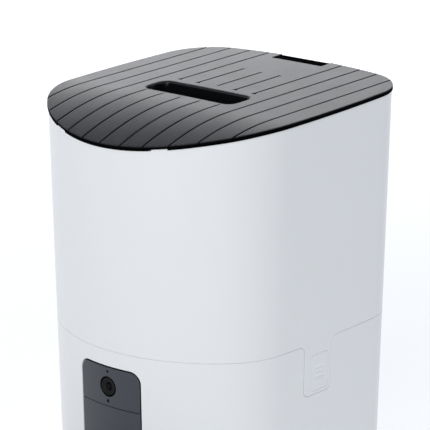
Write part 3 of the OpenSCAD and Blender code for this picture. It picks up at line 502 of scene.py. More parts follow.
class Finish:
    """A procedural material and the record's slot it belongs to."""

    def __init__(self, slot, colour, rough, metal=0.0, **socket):
        self.slot = slot
        self.material = bpy.data.materials.new("look_" + slot)
        self.material.use_nodes = True
        self.tree = self.material.node_tree
        self.shader = self.tree.nodes["Principled BSDF"]
        self.shader.inputs["Base Color"].default_value = (*colour, 1)
        self.shader.inputs["Roughness"].default_value = rough
        self.shader.inputs["Metallic"].default_value = metal
        for key, value in socket.items():
            self.shader.inputs[key.replace("_", " ")].default_value = value
        self.place = self.node("ShaderNodeTexCoord").outputs["Object"]
        self.colour = colour
        self.rough = rough
        self.height = None

    def node(self, kind, **values):
        """A new shader node with these properties."""
        n = self.tree.nodes.new(kind)
        for key, value in values.items():
            setattr(n, key, value)
        return n

    def link(self, a, b):
        """Links one socket to another."""
        self.tree.links.new(a, b)

    def noise(self, scale, detail=3.0, stretch=(1, 1, 1)):
        """Noise over the object, scale being per metre."""
        where = self.node("ShaderNodeMapping")
        where.inputs["Scale"].default_value = stretch
        self.link(self.place, where.inputs["Vector"])
        n = self.node("ShaderNodeTexNoise")
        n.inputs["Scale"].default_value = scale
        n.inputs["Detail"].default_value = detail
        self.link(where.outputs["Vector"], n.inputs["Vector"])
        return n.outputs["Fac"]

    def ramp(self, source, low, high, start=0.3, end=0.7):
        """Source mapped so that start to end gives low to high."""
        m = self.node("ShaderNodeMapRange")
        for key, value in zip(("From Min", "From Max", "To Min", "To Max"), (start, end, low, high)):
            m.inputs[key].default_value = value
        self.link(source, m.inputs["Value"])
        return m.outputs["Result"]

    def vary_colour(self, source, other, start=0.3, end=0.7):
        """Blends the base colour towards another with the source."""
        mix = self.node("ShaderNodeMix", data_type="RGBA")
        factor, first, second = mix.inputs[0], mix.inputs[6], mix.inputs[7]
        base = self.shader.inputs["Base Color"]
        if base.is_linked:
            self.link(base.links[0].from_socket, first)
        else:
            first.default_value = (*self.colour, 1)
        second.default_value = (*other, 1)
        self.link(self.ramp(source, 0, 1, start, end), factor)
        self.link(mix.outputs[2], base)
        return self

    def vary_rough(self, source, spread):
        """Lets the roughness stray by spread either way."""
        worn = self.ramp(source, self.rough - spread, self.rough + spread, 0, 1)
        self.link(worn, self.shader.inputs["Roughness"])
        return self

    def bump(self, source, height, strength=1.0):
        """Adds a bump of this height, in metres."""
        b = self.node("ShaderNodeBump")
        b.inputs["Strength"].default_value = strength
        b.inputs["Distance"].default_value = height
        self.link(source, b.inputs["Height"])
        if self.height:
            self.link(self.height, b.inputs["Normal"])
        self.height = b.outputs["Normal"]
        self.link(self.height, self.shader.inputs["Normal"])
        return self

    def weave(self, pitch, height):
        """Fine crossed ribs that the mould leaves, both in metres."""
        for axis in "XY":
            ribs = self.node("ShaderNodeTexWave", bands_direction=axis)
            ribs.inputs["Scale"].default_value = math.pi / (10 * pitch)
            self.link(self.place, ribs.inputs["Vector"])
            self.bump(ribs.outputs["Fac"], height)
        return self

    def paint_shade(self, other, shine):
        """Paints shade where the mesh's dark attribute is high: the colour goes towards another,
        near-black one, duller and with less shine, standing in for shadow in gaps, tracks and undersides.
        """
        dark = self.node("ShaderNodeAttribute", attribute_name="dark").outputs["Fac"]
        self.link(self.ramp(dark, PLAIN_SHINE, shine, 0, 1), self.shader.inputs["Specular IOR Level"])
        rough = self.shader.inputs["Roughness"]
        mix = self.node("ShaderNodeMix", data_type="FLOAT")
        factor, first, second = mix.inputs[0], mix.inputs[2], mix.inputs[3]
        self.link(dark, factor)
        self.link(rough.links[0].from_socket, first)
        second.default_value = DULL_ROUGH
        self.link(mix.outputs[0], rough)
        return self.vary_colour(dark, other, 0, 1)

    def lighten_sharp_edges(self, other, amount):
        """Lightens the colour along sharp convex edges."""
        pointed = self.node("ShaderNodeNewGeometry").outputs["Pointiness"]
        edge = self.ramp(pointed, 0, amount, 0.52, 0.62)
        return self.vary_colour(edge, other, 0, 1)


def plastic(slot, colour, rough, grain=0.00001, shade=0.94):
    """Moulded plastic: fine spark grain, soft flow shading, faint rub marks."""
    f = Finish(slot, colour, rough)
    f.vary_colour(f.noise(9, 2), tuple(c * shade for c in colour), 0.35, 0.75)
    f.vary_rough(f.noise(60, 4, (1, 1, 0.35)), 0.03)
    f.bump(f.noise(2600, 2), grain)
    f.bump(f.noise(25, 2), grain * 6, 0.4)
    return f


def metal(slot, colour, rough, stretch):
    """Brushed metal, with its grain drawn out along an axis."""
    f = Finish(slot, colour, rough, 1.0)
    f.vary_rough(f.noise(900, 4, stretch), 0.08)
    f.vary_colour(f.noise(40, 3), tuple(c * 0.88 for c in colour))
    f.bump(f.noise(1400, 3, stretch), 0.000006)
    return f


def rubber(slot, colour, rough):
    """Rubber or silicone: dusty patches and a matt, pitted skin."""
    f = Finish(slot, colour, rough)
    f.vary_colour(f.noise(120, 4), tuple(min(1, c * 1.35 + 0.01) for c in colour))
    f.vary_rough(f.noise(300, 4), 0.06)
    f.bump(f.noise(1800, 4), 0.00003)
    return f


SHELL = plastic("shell_white", (0.80, 0.812, 0.82), 0.3, grain=0.000004, shade=0.985)
INNER = plastic("inner_white", (0.74, 0.745, 0.74), 0.42)
LID = plastic("lid_black", (0.011, 0.0115, 0.014), 0.34, shade=0.85)
# Sharp convex edges are lightened; the lid's tracks, band sides and underside get painted shade: near
# black, duller and with less shine.
LID.lighten_sharp_edges((0.05, 0.05, 0.055), 0.25).paint_shade((0.001, 0.001, 0.0012), 0.02)
LID.weave(0.0015, 0.00006)
TRIM = plastic("trim_black", (0.012, 0.012, 0.012), 0.35, grain=0.000008)
# Painted shade on the trim's dark points, the camera bezel and the latch bar: near black, duller and with
# less shine.
TRIM.paint_shade((0.002, 0.002, 0.002), 0.004)
PANEL = plastic("panel_slate", (0.031, 0.035, 0.047), 0.4, shade=0.9)
# Painted shade on the panel's rim sides, hole sides and underside: near black, duller and with less
# shine, as in a shadowed gap.
PANEL.paint_shade((0.001, 0.001, 0.001), 0.01)
GEAR = plastic("gear", (0.78, 0.74, 0.62), 0.38)
ROTOR = plastic("rotor", (0.62, 0.30, 0.07), 0.45, grain=0.00002)
STEEL = metal("steel", (0.72, 0.72, 0.73), 0.24, (1, 12, 12))
HARDWARE = metal("hardware", (0.62, 0.62, 0.64), 0.32, (6, 6, 1))
RUBBER = rubber("rubber_dark", (0.045, 0.046, 0.05), 0.75)
SILICONE = rubber("silicone", (0.70, 0.40, 0.14), 0.5)
SEAL = rubber("seal", (0.52, 0.53, 0.55), 0.6)


def make_lens():
    """The camera's glass, nearly black and with little shine."""
    f = Finish("lens", (0.002, 0.002, 0.003), 0.12, Specular_IOR_Level=0.06)
    f.vary_colour(f.noise(500, 2), (0.004, 0.003, 0.007))
    f.bump(f.noise(90, 1), 0.000003)
    return f


def make_light_pipe():
    """The unlit indicator."""
    f = Finish("light_pipe", (0.012, 0.013, 0.016), 0.2, Specular_IOR_Level=0.3)
    f.vary_colour(f.noise(800, 2), (0.02, 0.022, 0.026))
    f.bump(f.noise(1500, 2), 0.000004)
    return f


def make_circuit():
    """Green board with copper-toned tracks and a solder-mask sheen."""
    f = Finish("circuit", (0.012, 0.12, 0.045), 0.35)
    tracks = f.node("ShaderNodeTexVoronoi", feature="DISTANCE_TO_EDGE", distance="CHEBYCHEV")
    tracks.inputs["Scale"].default_value = 260
    f.link(f.place, tracks.inputs["Vector"])
    line = f.ramp(tracks.outputs["Distance"], 1, 0, 0.04, 0.09)
    f.vary_colour(line, (0.05, 0.26, 0.10), 0, 1)
    f.vary_rough(f.noise(400, 3), 0.08)
    f.bump(tracks.outputs["Distance"], 0.00003)
    return f


def make_cell():
    """Battery wrap with a dark and a coppery end, which meet at one Y in metres."""
    f = Finish("cell", (0.05, 0.05, 0.055), 0.3, 0.3)
    split = f.node("ShaderNodeSeparateXYZ")
    f.link(f.place, split.inputs["Vector"])
    end = f.ramp(split.outputs["Y"], 0, 1, 0.0945, 0.0955)
    f.vary_colour(end, (0.55, 0.30, 0.12), 0, 1)
    f.vary_rough(f.noise(200, 3), 0.06)
    f.bump(f.noise(700, 3), 0.00001)
    return f


LENS, LIGHT, CIRCUIT, CELL = make_lens(), make_light_pipe(), make_circuit(), make_cell()
FINISHES = {f.slot: f for f in (SHELL, INNER, LID, TRIM, PANEL, GEAR, ROTOR, STEEL, HARDWARE, RUBBER,
                                SILICONE, SEAL, LENS, LIGHT, CIRCUIT, CELL)}


# ---------------------------------------------------------------- tank and base
def tab_path(e, top):
    """The side tab's edge in Y and Z, from the front to the rear, grown by e."""
    r, fillet = tab_r + e, tab_fillet - e
    y0, y1, low = tab_y0 - e, tab_y1 + e, seam_z - TANK_LAP - e
    return np.concatenate([
        arc(y0 - fillet, top - fillet, fillet, 90, 0), arc(y0 + r, low + r, r, 180, 270),
        arc(y1 - r, low + r, r, 270, 360), arc(y1 + fillet, top - fillet, fillet, 180, 90)])


def seam_path(e, top):
    """The seam from the front to the rear centre, in arc length and height."""
    tab = tab_path(e, top)
    tab[:, 0] = side_s(tab[:, 0])
    return fine(np.concatenate([[[0, top]], tab, [[S_END, top]]]), 3)


BUMP_X = (37, 47)
BUMP_H = 0.8


def rim_path():
    """The tank's upper edge, from the rear to the front centre, with its locating bump."""
    marks = np.concatenate([front_s(np.array([b + d for b in BUMP_X]), lid_z) for d in (-0.1, 0.1)])
    s = np.sort(np.concatenate([np.linspace(0, S_END, 130), marks]))[::-1]
    x, y = on_outline(s, 0)
    z = lid_top(x, y) - BAND_H - RIM_GAP
    bump = (x > BUMP_X[0]) & (x < BUMP_X[1]) & (y < body_y)
    return np.column_stack([s, z + BUMP_H * bump])


BUTTON_Y = (tab_y0 + 7, tab_y0 + 24.3)
BUTTON_Z = (118.6, 143.6)
BUTTON_CORNER = 2.5


def button_outline(e):
    """The release button's edge in Y and Z, grown by e."""
    (y0, y1), (z0, z1) = BUTTON_Y, BUTTON_Z
    return rounded(y0 - e, z0 - e, y1 + e, z1 + e, BUTTON_CORNER + e)


def button_loop(e):
    """The release button's edge, grown by e, in arc length and height."""
    loop = fine(button_outline(e), 3, True)
    loop[:, 0] = side_s(loop[:, 0])
    return loop


def make_tank():
    """The tank's wall, its floor round the hopper and the sleeves of its buttons."""
    bm = new_mesh()
    seam, rim, hole = seam_path(0, seam_z), rim_path(), button_loop(0.1)
    outer = np.concatenate([seam, rim])
    skin(bm, wall_at, outer, [hole],
         [(seam, False, 0.15), (rim, False, 0.4), (hole[::-1], True, 0.12)], thick=TANK_WALL)
    floor_t, floor_in, hopper_hole = 2, 3.2, 62
    s, a = np.linspace(0, S_END, 60), np.linspace(0, math.pi, 60)
    rings = [mirrored(*on_outline(s, inset(z) + floor_in), z) for z in (seam_z, seam_z + floor_t)]
    rings += [mirrored(hopper_hole * np.sin(a), rotor_y - hopper_hole * np.cos(a), z)
              for z in (seam_z + floor_t, seam_z)]
    add_ring(bm, rings)
    for side in (1, -1):
        button_sleeve(bm, side)
    finish_piece(bm, "tank_wall", "tank", SHELL, "tank_shell")


def button_sleeve(bm, side):
    """A sleeve behind a side tab that guides its button, closed at its inner end."""
    x0, x1, outer, inner, end_t = 83.6, 88.6, 1.8, 0.4, 1.4
    part = new_mesh()
    rings = [[(side * x, *p) for p in button_outline(e)]
             for e, x in ((outer, x0), (outer, x1), (inner, x1), (inner, x0 + end_t))]
    loft(part, rings, cap=(True, True))
    add(bm, part)


def make_button(side, node, body):
    """A release button: a pad with three grip ribs, and the stem that its spring pushes."""
    bm = new_mesh()
    loop = button_loop(0)
    mid = loop.mean(0)
    rib_half, rib_pitch = 3.4, 3
    ribs = [mid + np.array([[-rib_half, k * rib_pitch], [rib_half, k * rib_pitch]]) for k in (-1, 0, 1)]
    dip = [(0, 0.2), (0.45, 0.15), (0.8, 0)]
    skin(bm, wall_at, loop, [], [(loop, True, 0.2)], [(rib, False, dip) for rib in ribs],
         (2.4, 2.4), 1.9, halves=side)
    stem_x, stem_r, stem_l = 87.5, 2.4, 2.6
    stem = [(0, 0), (stem_r, 0), (stem_r, stem_l), (0, stem_l)]
    start = stem_x if side > 0 else -stem_x - stem_l
    lathe(bm, stem, (start, sum(BUTTON_Y) / 2, sum(BUTTON_Z) / 2), "x", 32, 0.3)
    finish_piece(bm, body + "_pad", body, SHELL, node)


def hole_loops():
    """The right half of each opening in the base, in arc length and height, and its edge radius."""
    frame_half = half_rounded(panel_half_w + PANEL_GAP, panel_low - PANEL_GAP, panel_high + PANEL_GAP,
                              PANEL_CORNER + PANEL_GAP, 10)
    mouth_half = half_rounded(mouth_half_w, mouth_low, mouth_high, mouth_r)
    out = []
    for half, r in ((fine(frame_half, 3), 0.5), (fine(mouth_half, 3), 1.2)):
        half[:, 0] = front_s(half[:, 0], half[:, 1])
        out.append((half[::-1], r))
    rear = [(fine(half_rounded(door_half_w, door_low, door_high, DOOR_CORNER), 4), 0.4)]
    outer_ring = 10
    for z, r in ((socket_z, SOCKET_R), (speaker_z, SOUND_HOLE_R), (speaker_z + outer_ring, SOUND_HOLE_R),
                 (speaker_z - outer_ring, SOUND_HOLE_R)):
        rear.append((arc(0, z, r, -90, 90, 10), 0.2))
    for ring, count in ((outer_ring / 2, 6), (outer_ring, 12)):
        for k in range(count):
            a = 2 * math.pi * k / count
            x, z = ring * math.cos(a), speaker_z + ring * math.sin(a)
            if x > 0.1:
                rear.append((arc(x, z, SOUND_HOLE_R, 0, 360, 12)[:-1], 0.2))
    for loop, r in rear:
        loop[:, 0] = rear_s(loop[:, 0], loop[:, 1])
        out.append((loop, r))
    return out


def make_base():
    """The base's wall, raised a little in front for the tray's tongue."""
    bm = new_mesh()
    seam = seam_path(0.2, seam_z - SEAM_GAP)
    low = mm_box("base_shell")[0].z
    step_s, step_z = front_s(29, low), low + 1.1
    foot = fine(np.array([[0, step_z], [step_s, step_z], [step_s, low], [S_END, low]]), 3)
    outer = np.concatenate([foot, seam[::-1]])
    holes, edges = [], [(seam[::-1], False, 0.45), (foot, False, 0.8)]
    for loop, r in hole_loops():
        holes.append(loop)
        half = abs(loop[0, 0] - loop[-1, 0]) < 1e-6 and loop[0, 0] in (0.0, S_END)
        edges.append((loop, not half, r))
    skin(bm, wall_at, outer, holes, edges, thick=BASE_WALL)
    for side in (1, -1):
        pocket_wall(bm, side)
    finish_piece(bm, "base_wall", "base", SHELL, "base_shell")


def pocket_wall(bm, side):
    """The open box behind a tab's cut-out that the tab's sleeve goes into."""
    (y0, y1), (x0, x1) = (tab_y0 - 3.5, tab_y1 + 4), (80, 89.6)
    (z0, z1), t = (112, seam_z - SEAM_GAP - 0.3), 1.6
    channel = [(x1, y0), (x1, y0 + t), (x0 + t, y0 + t), (x0 + t, y1 - t), (x1, y1 - t), (x1, y1),
               (x0, y1), (x0, y0)]
    floor = [(x1, y0), (x1, y1), (x0, y1), (x0, y0)]
    for plan, low, high in ((channel, z0 + t, z1), (floor, z0, z0 + t)):
        part = new_mesh()
        loft(part, [[(side * x, y, z) for x, y in plan] for z in (low, high)], cap=(True, True))
        add(bm, part)


# ---------------------------------------------------------------- front panel
def make_panel():
    """The panel's two faces, a hair below the wall and apart at their split."""
    sunk, rim, split_gap = 0.12, 0.4, 0.15
    corner, square = PANEL_CORNER - rim, 0.1

    def at(uv, depth):
        return wall_at(uv, depth + sunk)
    for name, z0, z1, low_r, high_r, holes in (
            ("front_panel_upper", split_z + split_gap, panel_high - rim, square, corner,
             [(camera_z, 6.95), (light_z, 1.1), (mic_z, 0.9)]),
            ("front_panel_lower", panel_low + rim, split_z - split_gap, corner, square,
             [(feed_z, 5.3)])):
        w = panel_half_w - 0.3
        edge = np.concatenate([[[0, z0]], arc(w - low_r, z0 + low_r, low_r, -90, 0, 10),
                               arc(w - high_r, z1 - high_r, high_r, 0, 90, 10), [[0, z1]]])
        edge = fine(edge, 3)
        edge[:, 0] = front_s(edge[:, 0], edge[:, 1])
        loops = []
        for z, r in holes:
            loop = arc(0, z, r, -90, 90, 16)
            loop[:, 0] = front_s(loop[:, 0], loop[:, 1])
            loops.append(loop)
        bm = new_mesh()
        skin(bm, at, edge, loops, [(edge, False, 0.2)] + [(h[::-1], False, 0.12) for h in loops],
             step=(3, 3), thick=2)
        finish_piece(bm, name + "_face", "base", PANEL, name)


def face_y(z):
    """Y of the wall's front at height z."""
    return front_y + inset(z)


def make_camera():
    """The camera's dished ring, its glass dome and the light pipe below it."""
    bm = new_mesh()
    y = face_y(camera_z)
    ring = [(5.95, 0), (5.95, 2), (6.75, 2), (6.75, 3.1), (2.7, 3.1), (2.7, 1.3), (4.2, 0.7), (5.6, 0)]
    lathe(bm, ring, (0, y + 0.3, camera_z), "y", 96, 0.15)
    # Painted shade: the bezel's outer rim is fully dark and its dish partly dark, standing in for the
    # shadowed gap round the glass.
    dark, rim_r = bm.verts.layers.float["dark"], 5.8
    for v in bm.verts:
        v[dark] = 1 if math.hypot(v.co.x, v.co.z - camera_z) > rim_r else 0.6
    finish_piece(bm, "camera_bezel", "base", TRIM, "camera_ring")
    bm = new_mesh()
    dome = [(0, 0), (1, 0.1), (1.8, 0.35), (2.6, 0.8), (2.6, 3), (3.8, 3), (3.8, 4.5), (0, 4.5)]
    lathe(bm, soften(dome, 0.4), (0, y + 1.2, camera_z), "y", 64)
    finish_piece(bm, "camera_glass", "base", LENS, "camera_lens")
    bm = new_mesh()
    pipe_r, pipe_l = 0.95, 7.6
    pipe = [(0, 0), (pipe_r, 0), (pipe_r, pipe_l), (0, pipe_l)]
    lathe(bm, pipe, (0, face_y(light_z) + 0.9, light_z), "y", 32, 0.2)
    finish_piece(bm, "status_light_pipe", "base", LIGHT, "status_light")


def make_feed_button():
    """The round button, slightly dished, with a collar behind the panel."""
    bm = new_mesh()
    cap = [(0, 0.6), (2.6, 0.45), (4.2, 0.1), (4.75, 0), (5, 0.3), (5, 4.6), (6.2, 4.6), (6.2, 5.4),
           (1.6, 5.4), (1.6, 6.4), (0, 6.4)]
    lathe(bm, cap, (0, face_y(feed_z) - 0.2, feed_z), "y", 64, 0.12)
    finish_piece(bm, "feed_button_cap", "feed_button", PANEL, "feed_button")


# ---------------------------------------------------------------- lid
def groove_runs():
    """Each groove of the right half, from front to rear. The first three stop at the grip pocket."""
    front, rear, short = front_y - 6, rear_y + 6, body_y + 53
    before, behind = grip_y - grip_l / 2 - 6, grip_y + grip_l / 2 + 9.5
    runs = []
    for k in range(6):
        x = k * GROOVE_PITCH
        if k > 2:
            runs.append([(x, front), (x, rear)])
        else:
            runs += [[(x, front), (x, before)], [(x, behind), (x, rear if k == 2 else short)]]
    return [fine(np.array(run, float), 5) for run in runs]


GROOVE = [(0, 0.9), (0.3, 0.86), (0.5, 0.55), (0.66, 0.12), (0.8, 0)]


def grip_pocket(bm, grip):
    """The pocket's walls and floor, inside and outside, below its rim in the lid."""
    floor = lid_top(0, grip_y) - grip_depth
    full = np.concatenate([grip, (grip * [-1, 1])[-2:0:-1]])
    top_z = lid_top(full[:, 0], full[:, 1])
    inner = [(0, top_z - LIP), (0.25, top_z - 4), (0.6, floor + 4), (1.5, floor + 1.4),
             (3.2, floor + 0.3), (5, floor)]
    outside = [(0, top_z - TANK_WALL), (-1.6, top_z - 3.4), (-1.4, floor + 4), (-0.6, floor - 0.6),
               (1, floor - 1.8)]
    for rings, way in ((inner, 1), (outside, -1)):
        # Painted shade: the pocket's walls and floor are painted mostly dark.
        rows = loft(bm, [level(shifted(full, e, True), z) for e, z in rings], dark=0.8)
        bm.faces.new(rows[-1][::way])
    bmesh.ops.remove_doubles(bm, verts=bm.verts, dist=1e-3)
    bmesh.ops.recalc_face_normals(bm, faces=bm.faces)


def latch_trough(bm):
    """The trough under the lid's rear notch that the latch slides in, open to the rear."""
    part = new_mesh()
    w, t, back = NOTCH_HALF_W, 1.5, rear_y - 3.6
    floor, high = lid_top(0, rear_y) - 6.7, lid_top(0, notch_y) - 1
    path = np.array([(w + t, back), (w + t, notch_y - t), (-w - t, notch_y - t), (-w - t, back)])
    hollow = np.array([(w, back), (w, notch_y), (-w, notch_y), (-w, back)])
    rings = [level(path, floor - 0.8), level(path, high), level(hollow, high), level(hollow, floor)]
    rows = loft(part, rings, closed=False, cap=(True, True))
    part.faces.new([row[0] for row in rows])
    part.faces.new([row[-1] for row in rows][::-1])
    add(bm, part)


def make_lid():
    """The lid's grooved shell with its grip pocket, latch trough and screw posts."""
    bm = new_mesh()
    ease, step = 0.45, 0.05
    marks = np.array([b + side * (ease + d) for b, side in zip(BUMP_X, (-1, 1)) for d in (-step, step)])
    s = np.concatenate([np.linspace(0, rear_s(NOTCH_HALF_W, lid_z), 150), front_s(marks, lid_z)])
    edge = np.column_stack(on_outline(np.sort(s), -LID_EDGE))
    edge[-1, 0] = NOTCH_HALF_W
    notch = np.concatenate([[edge[-1]], arc(NOTCH_HALF_W - 1, notch_y + 1, 1, 0, -90, 4), [[0, notch_y]]])
    notch = fine(notch, 3)
    outer = np.concatenate([edge, notch[1:], fine(np.array([notch[-1], edge[0]]), 4)[1:-1]])
    grip = fine(half_rounded(grip_w / 2, grip_y - grip_l / 2, grip_y + grip_l / 2, grip_r, 10), 4)

    def under(uv):
        band = np.where(distance(uv, edge) < 2.5, BAND_H, TANK_WALL)
        bump = (uv[:, 0] > BUMP_X[0] - ease) & (uv[:, 0] < BUMP_X[1] + ease) & (uv[:, 1] < body_y)
        return np.where(bump, np.minimum(band, 1.9), band)

    skin(bm, lid_at, outer, [grip], [(edge, False, 0.6), (notch, False, 0.4), (grip[::-1], False, LIP)],
         [(run, False, GROOVE) for run in groove_runs()] + [(shifted(edge, 2.6, False), False, [(0, 0)])],
         step=(4, 4), thick=under, open_at=[grip])
    grip_pocket(bm, grip)
    latch_trough(bm)
    post_r, bore_r, post_start, post_end = 3.2, 1.1, 1.2, 7.6
    for side in (1, -1):
        for x, y in ((50, -26), (72, 30), (52, 118)):
            z = float(lid_top(side * x, y))
            low, high = z - post_end, z - post_start
            post = [(bore_r, low), (post_r, low), (post_r, high), (bore_r, high)]
            lathe(bm, post, (side * x, y, 0), "z", 32)
    finish_piece(bm, "lid_top", "lid", LID, "lid_cover")


def make_latch():
    """The latch button: a bar with rounded edges and a finger groove."""
    level_z = lid_top(0, rear_y)
    low, top, shelf = level_z - 6.5, level_z - 0.4, level_z - BAND_H + 0.3
    y0 = notch_y + 3.2
    side = [(y0, low), (rear_y - 2.8, low), (rear_y - 2.8, shelf), (rear_y, shelf), (rear_y, top - 0.6),
            (rear_y - 0.8, top), (y0 + 5, top), (y0 + 4.4, top - 0.7), (y0 + 3.1, top - 0.7),
            (y0 + 2.5, top), (y0, top)]
    side = soften(side, 0.5)
    w = NOTCH_HALF_W - 0.7
    part = new_mesh()
    rings = [(-w, 0.35), (-w + 0.15, 0.1), (-w + 0.4, 0), (w - 0.4, 0), (w - 0.15, 0.1), (w, 0.35)]
    # Painted shade: the whole bar is fully dark and dull, standing in for the shade it sits in under the
    # notch.
    loft(part, [[(x, *p) for p in shifted(side, d, True)] for x, d in rings], cap=(True, True), dark=1)
    bm = new_mesh()
    add(bm, part)
    finish_piece(bm, "lid_latch_bar", "lid_latch", TRIM, "lid_latch_button")


# ---------------------------------------------------------------- tray and bowl
def make_tray():
    """The tray: round in front, cut to the base's wall behind, with the bowl's pocket."""
    low, high = mm_box("bowl_tray")
    half_w, top, bottom, corner = high.x, high.z, low.z, 46
    x, y = on_outline(np.linspace(0, ARC_S[2], 80), inset(14) - 0.75)
    keep = x < half_w
    body = np.column_stack([x, y])[keep][::-1]
    slope = np.interp(half_w, x, y)
    edge = np.concatenate([[[0, low.y]], arc(half_w - corner, low.y + corner, corner, -90, 0, 14),
                           fine(np.array([[half_w, low.y + corner + 3], [half_w, slope]]), 4)])
    edge = fine(edge, 4)
    back = np.concatenate([edge[-1:], body[:-1], [[0, body[-1][1]]]])
    outer = np.concatenate([edge, back[1:]])
    r, flat = 44, 23
    hole = np.concatenate([[[0, bowl_y - r]], arc(flat, bowl_y, r, -90, 90, 24), [[0, bowl_y + r]]])
    hole = fine(hole, 4)

    def at(uv, depth):
        return np.column_stack([uv, top - depth + np.zeros(len(uv))])
    bm = new_mesh()
    skin(bm, at, outer, [hole], [(edge, False, 4), (back, False, 0.8), (hole[::-1], False, 1.5)],
         step=(5, 5), thick=top - bottom, open_at=[hole])
    full = np.concatenate([hole, (hole * [-1, 1])[-2:0:-1]])
    rows = loft(bm, [level(full, top - 1.5), level(full, 7), level(shifted(full, 0.9, True), 4.9),
                     level(shifted(full, 3, True), 4)])
    bm.faces.new(rows[-1])
    rows = loft(bm, [level(full, bottom), level(shifted(full, 1, True), bottom)])
    bm.faces.new(rows[-1][::-1])
    bmesh.ops.remove_doubles(bm, verts=bm.verts, dist=1e-3)
    bmesh.ops.recalc_face_normals(bm, faces=bm.faces)
    tongue_half_w, tongue_l, tongue_t = 28, 32, 1.6
    tongue = rounded(-tongue_half_w, front_y, tongue_half_w, front_y + tongue_l, 3)
    slab_between(bm, tongue, bottom, bottom + tongue_t, 0.3)
    finish_piece(bm, "tray_body", "tray", SHELL, "bowl_tray")


def stadium(r, n=32):
    """The bowl's plan: two half circles of radius r, joined by straight sides."""
    flat = mm_box("steel_bowl")[1].x - 46.5
    return np.concatenate([arc(flat, bowl_y, r, -90, 90, n), arc(-flat, bowl_y, r, 90, 270, n)])


def make_bowl():
    """The drawn steel bowl with its rolled rim."""
    top = mm_box("steel_bowl")[1].z
    low, t, r, lean, fillet, roll_r = 4.3, 0.9, 43, 1.5, 9, 0.9
    turn_r, turn_z = r - lean - fillet, low + fillet
    profile = np.concatenate([
        arc(turn_r, turn_z, fillet, -90, 0, 8), [(r - 0.3, top - 2.6), (r + 0.6, top - 1.9)],
        arc(r + 2.6, top - roll_r, roll_r, -90, 90), [(r + 0.2, top), (r - 0.7, top - 0.6)],
        arc(turn_r, turn_z, fillet - t, 0, -90, 8)])
    bm = new_mesh()
    part = new_mesh()
    loft(part, [level(stadium(q), z) for q, z in profile], cap=(True, True))
    add(bm, part)
    finish_piece(bm, "food_bowl", "bowl", STEEL, "steel_bowl")


# ---------------------------------------------------------------- battery door and hopper
def make_door():
    """The battery door with a finger dip at its top and three hooks inside."""
    edge = fine(half_rounded(door_half_w - DOOR_GAP, door_low + DOOR_GAP, door_high - DOOR_GAP,
                             DOOR_CORNER - DOOR_GAP), 4)
    edge[:, 0] = rear_s(edge[:, 0], edge[:, 1])
    outer = edge[::-1]
    dip_half_w, dip_z, sunk = 8, door_high - 7, 0.15
    dip = fine(np.array([[S_END - dip_half_w, dip_z], [S_END, dip_z]]), 3)

    def at(uv, depth):
        return wall_at(uv, depth + sunk)
    bm = new_mesh()
    skin(bm, at, outer, [], [(outer, False, 0.4)],
         [(dip, False, [(0, 1), (2, 0.95), (2.7, 0.6), (3.1, 0)])], step=(3, 3), thick=BASE_WALL - sunk)
    hook_pitch, hook_half_w, hook_y, hook_z = 33.6, 7, (136.2, 139.9), (17, 18.6)
    for x in (-hook_pitch, 0, hook_pitch):
        hook = rounded(x - hook_half_w, hook_y[0], x + hook_half_w, hook_y[1], 0.8)
        slab_between(bm, hook, *hook_z, 0.2)
    finish_piece(bm, "battery_door_cover", "battery_door", SHELL, "battery_door")


def make_hopper():
    """The funnel from the tank's own outline to the rotor's round chamber."""
    gap, t = TANK_WALL + 0.8, 1.6
    outer_r, inner_r = 53.6, 52
    s = np.linspace(0, S_END, 72)
    i = np.clip(np.searchsorted(ARC_S, s, side="right") - 1, 0, 4)
    heading = ARC_H[i] + (s - ARC_S[i]) / ARC_R[i]

    def square(z, d):
        return mirrored(*on_outline(s, inset(z) + d), z)

    def rim(d):
        z = lid_top(*on_outline(s, 0)) - 7.6
        return mirrored(*on_outline(s, inset(z) + d), z)

    def circle(z, r):
        return mirrored(r * np.sin(heading), rotor_y - r * np.cos(heading), z)

    def between(share, z, d, r):
        return (square(208, d) * (1 - share) + circle(160, r) * share) * [1, 1, 0] + [0, 0, z]
    slope = [(0.04, 206.6), (0.12, 202.6), (0.5, 184), (0.88, 165.6), (0.96, 161.6)]
    rings = [rim(gap), square(212, gap)]
    rings += [between(share, z, gap, outer_r) for share, z in slope]
    rings += [circle(158, outer_r), circle(137, outer_r), circle(137, inner_r), circle(158.4, inner_r)]
    rings += [between(share, z + 0.6, gap + t, inner_r) for share, z in slope[::-1]]
    rings += [square(212, gap + t), rim(gap + t)]
    bm = new_mesh()
    add_ring(bm, rings)
    finish_piece(bm, "hopper_funnel", "tank", INNER, "hopper")


def make_gasket():
    """The seal under the lid: a rib with two soft lips towards the tank's neck."""
    lips = [(7.2, 9.2), (5.8, 9.2), (5.6, 9.7), (5.65, 10.1), (6.3, 10.5), (6.3, 10.9), (5.65, 11.3),
            (5.6, 11.8), (5.8, 12.4), (6.3, 12.6), (6.8, 12.3), (7, 11.7), (7.2, 11.2)]
    rings = []
    for d, drop in soften(lips, 0.3, 2):
        x, y = on_outline(np.linspace(0, S_END, 140), d)
        rings.append(mirrored(x, y, lid_top(x, y) - drop))
    bm = new_mesh()
    add_ring(bm, rings)
    finish_piece(bm, "lid_seal", "lid", SEAL, "lid_gasket")


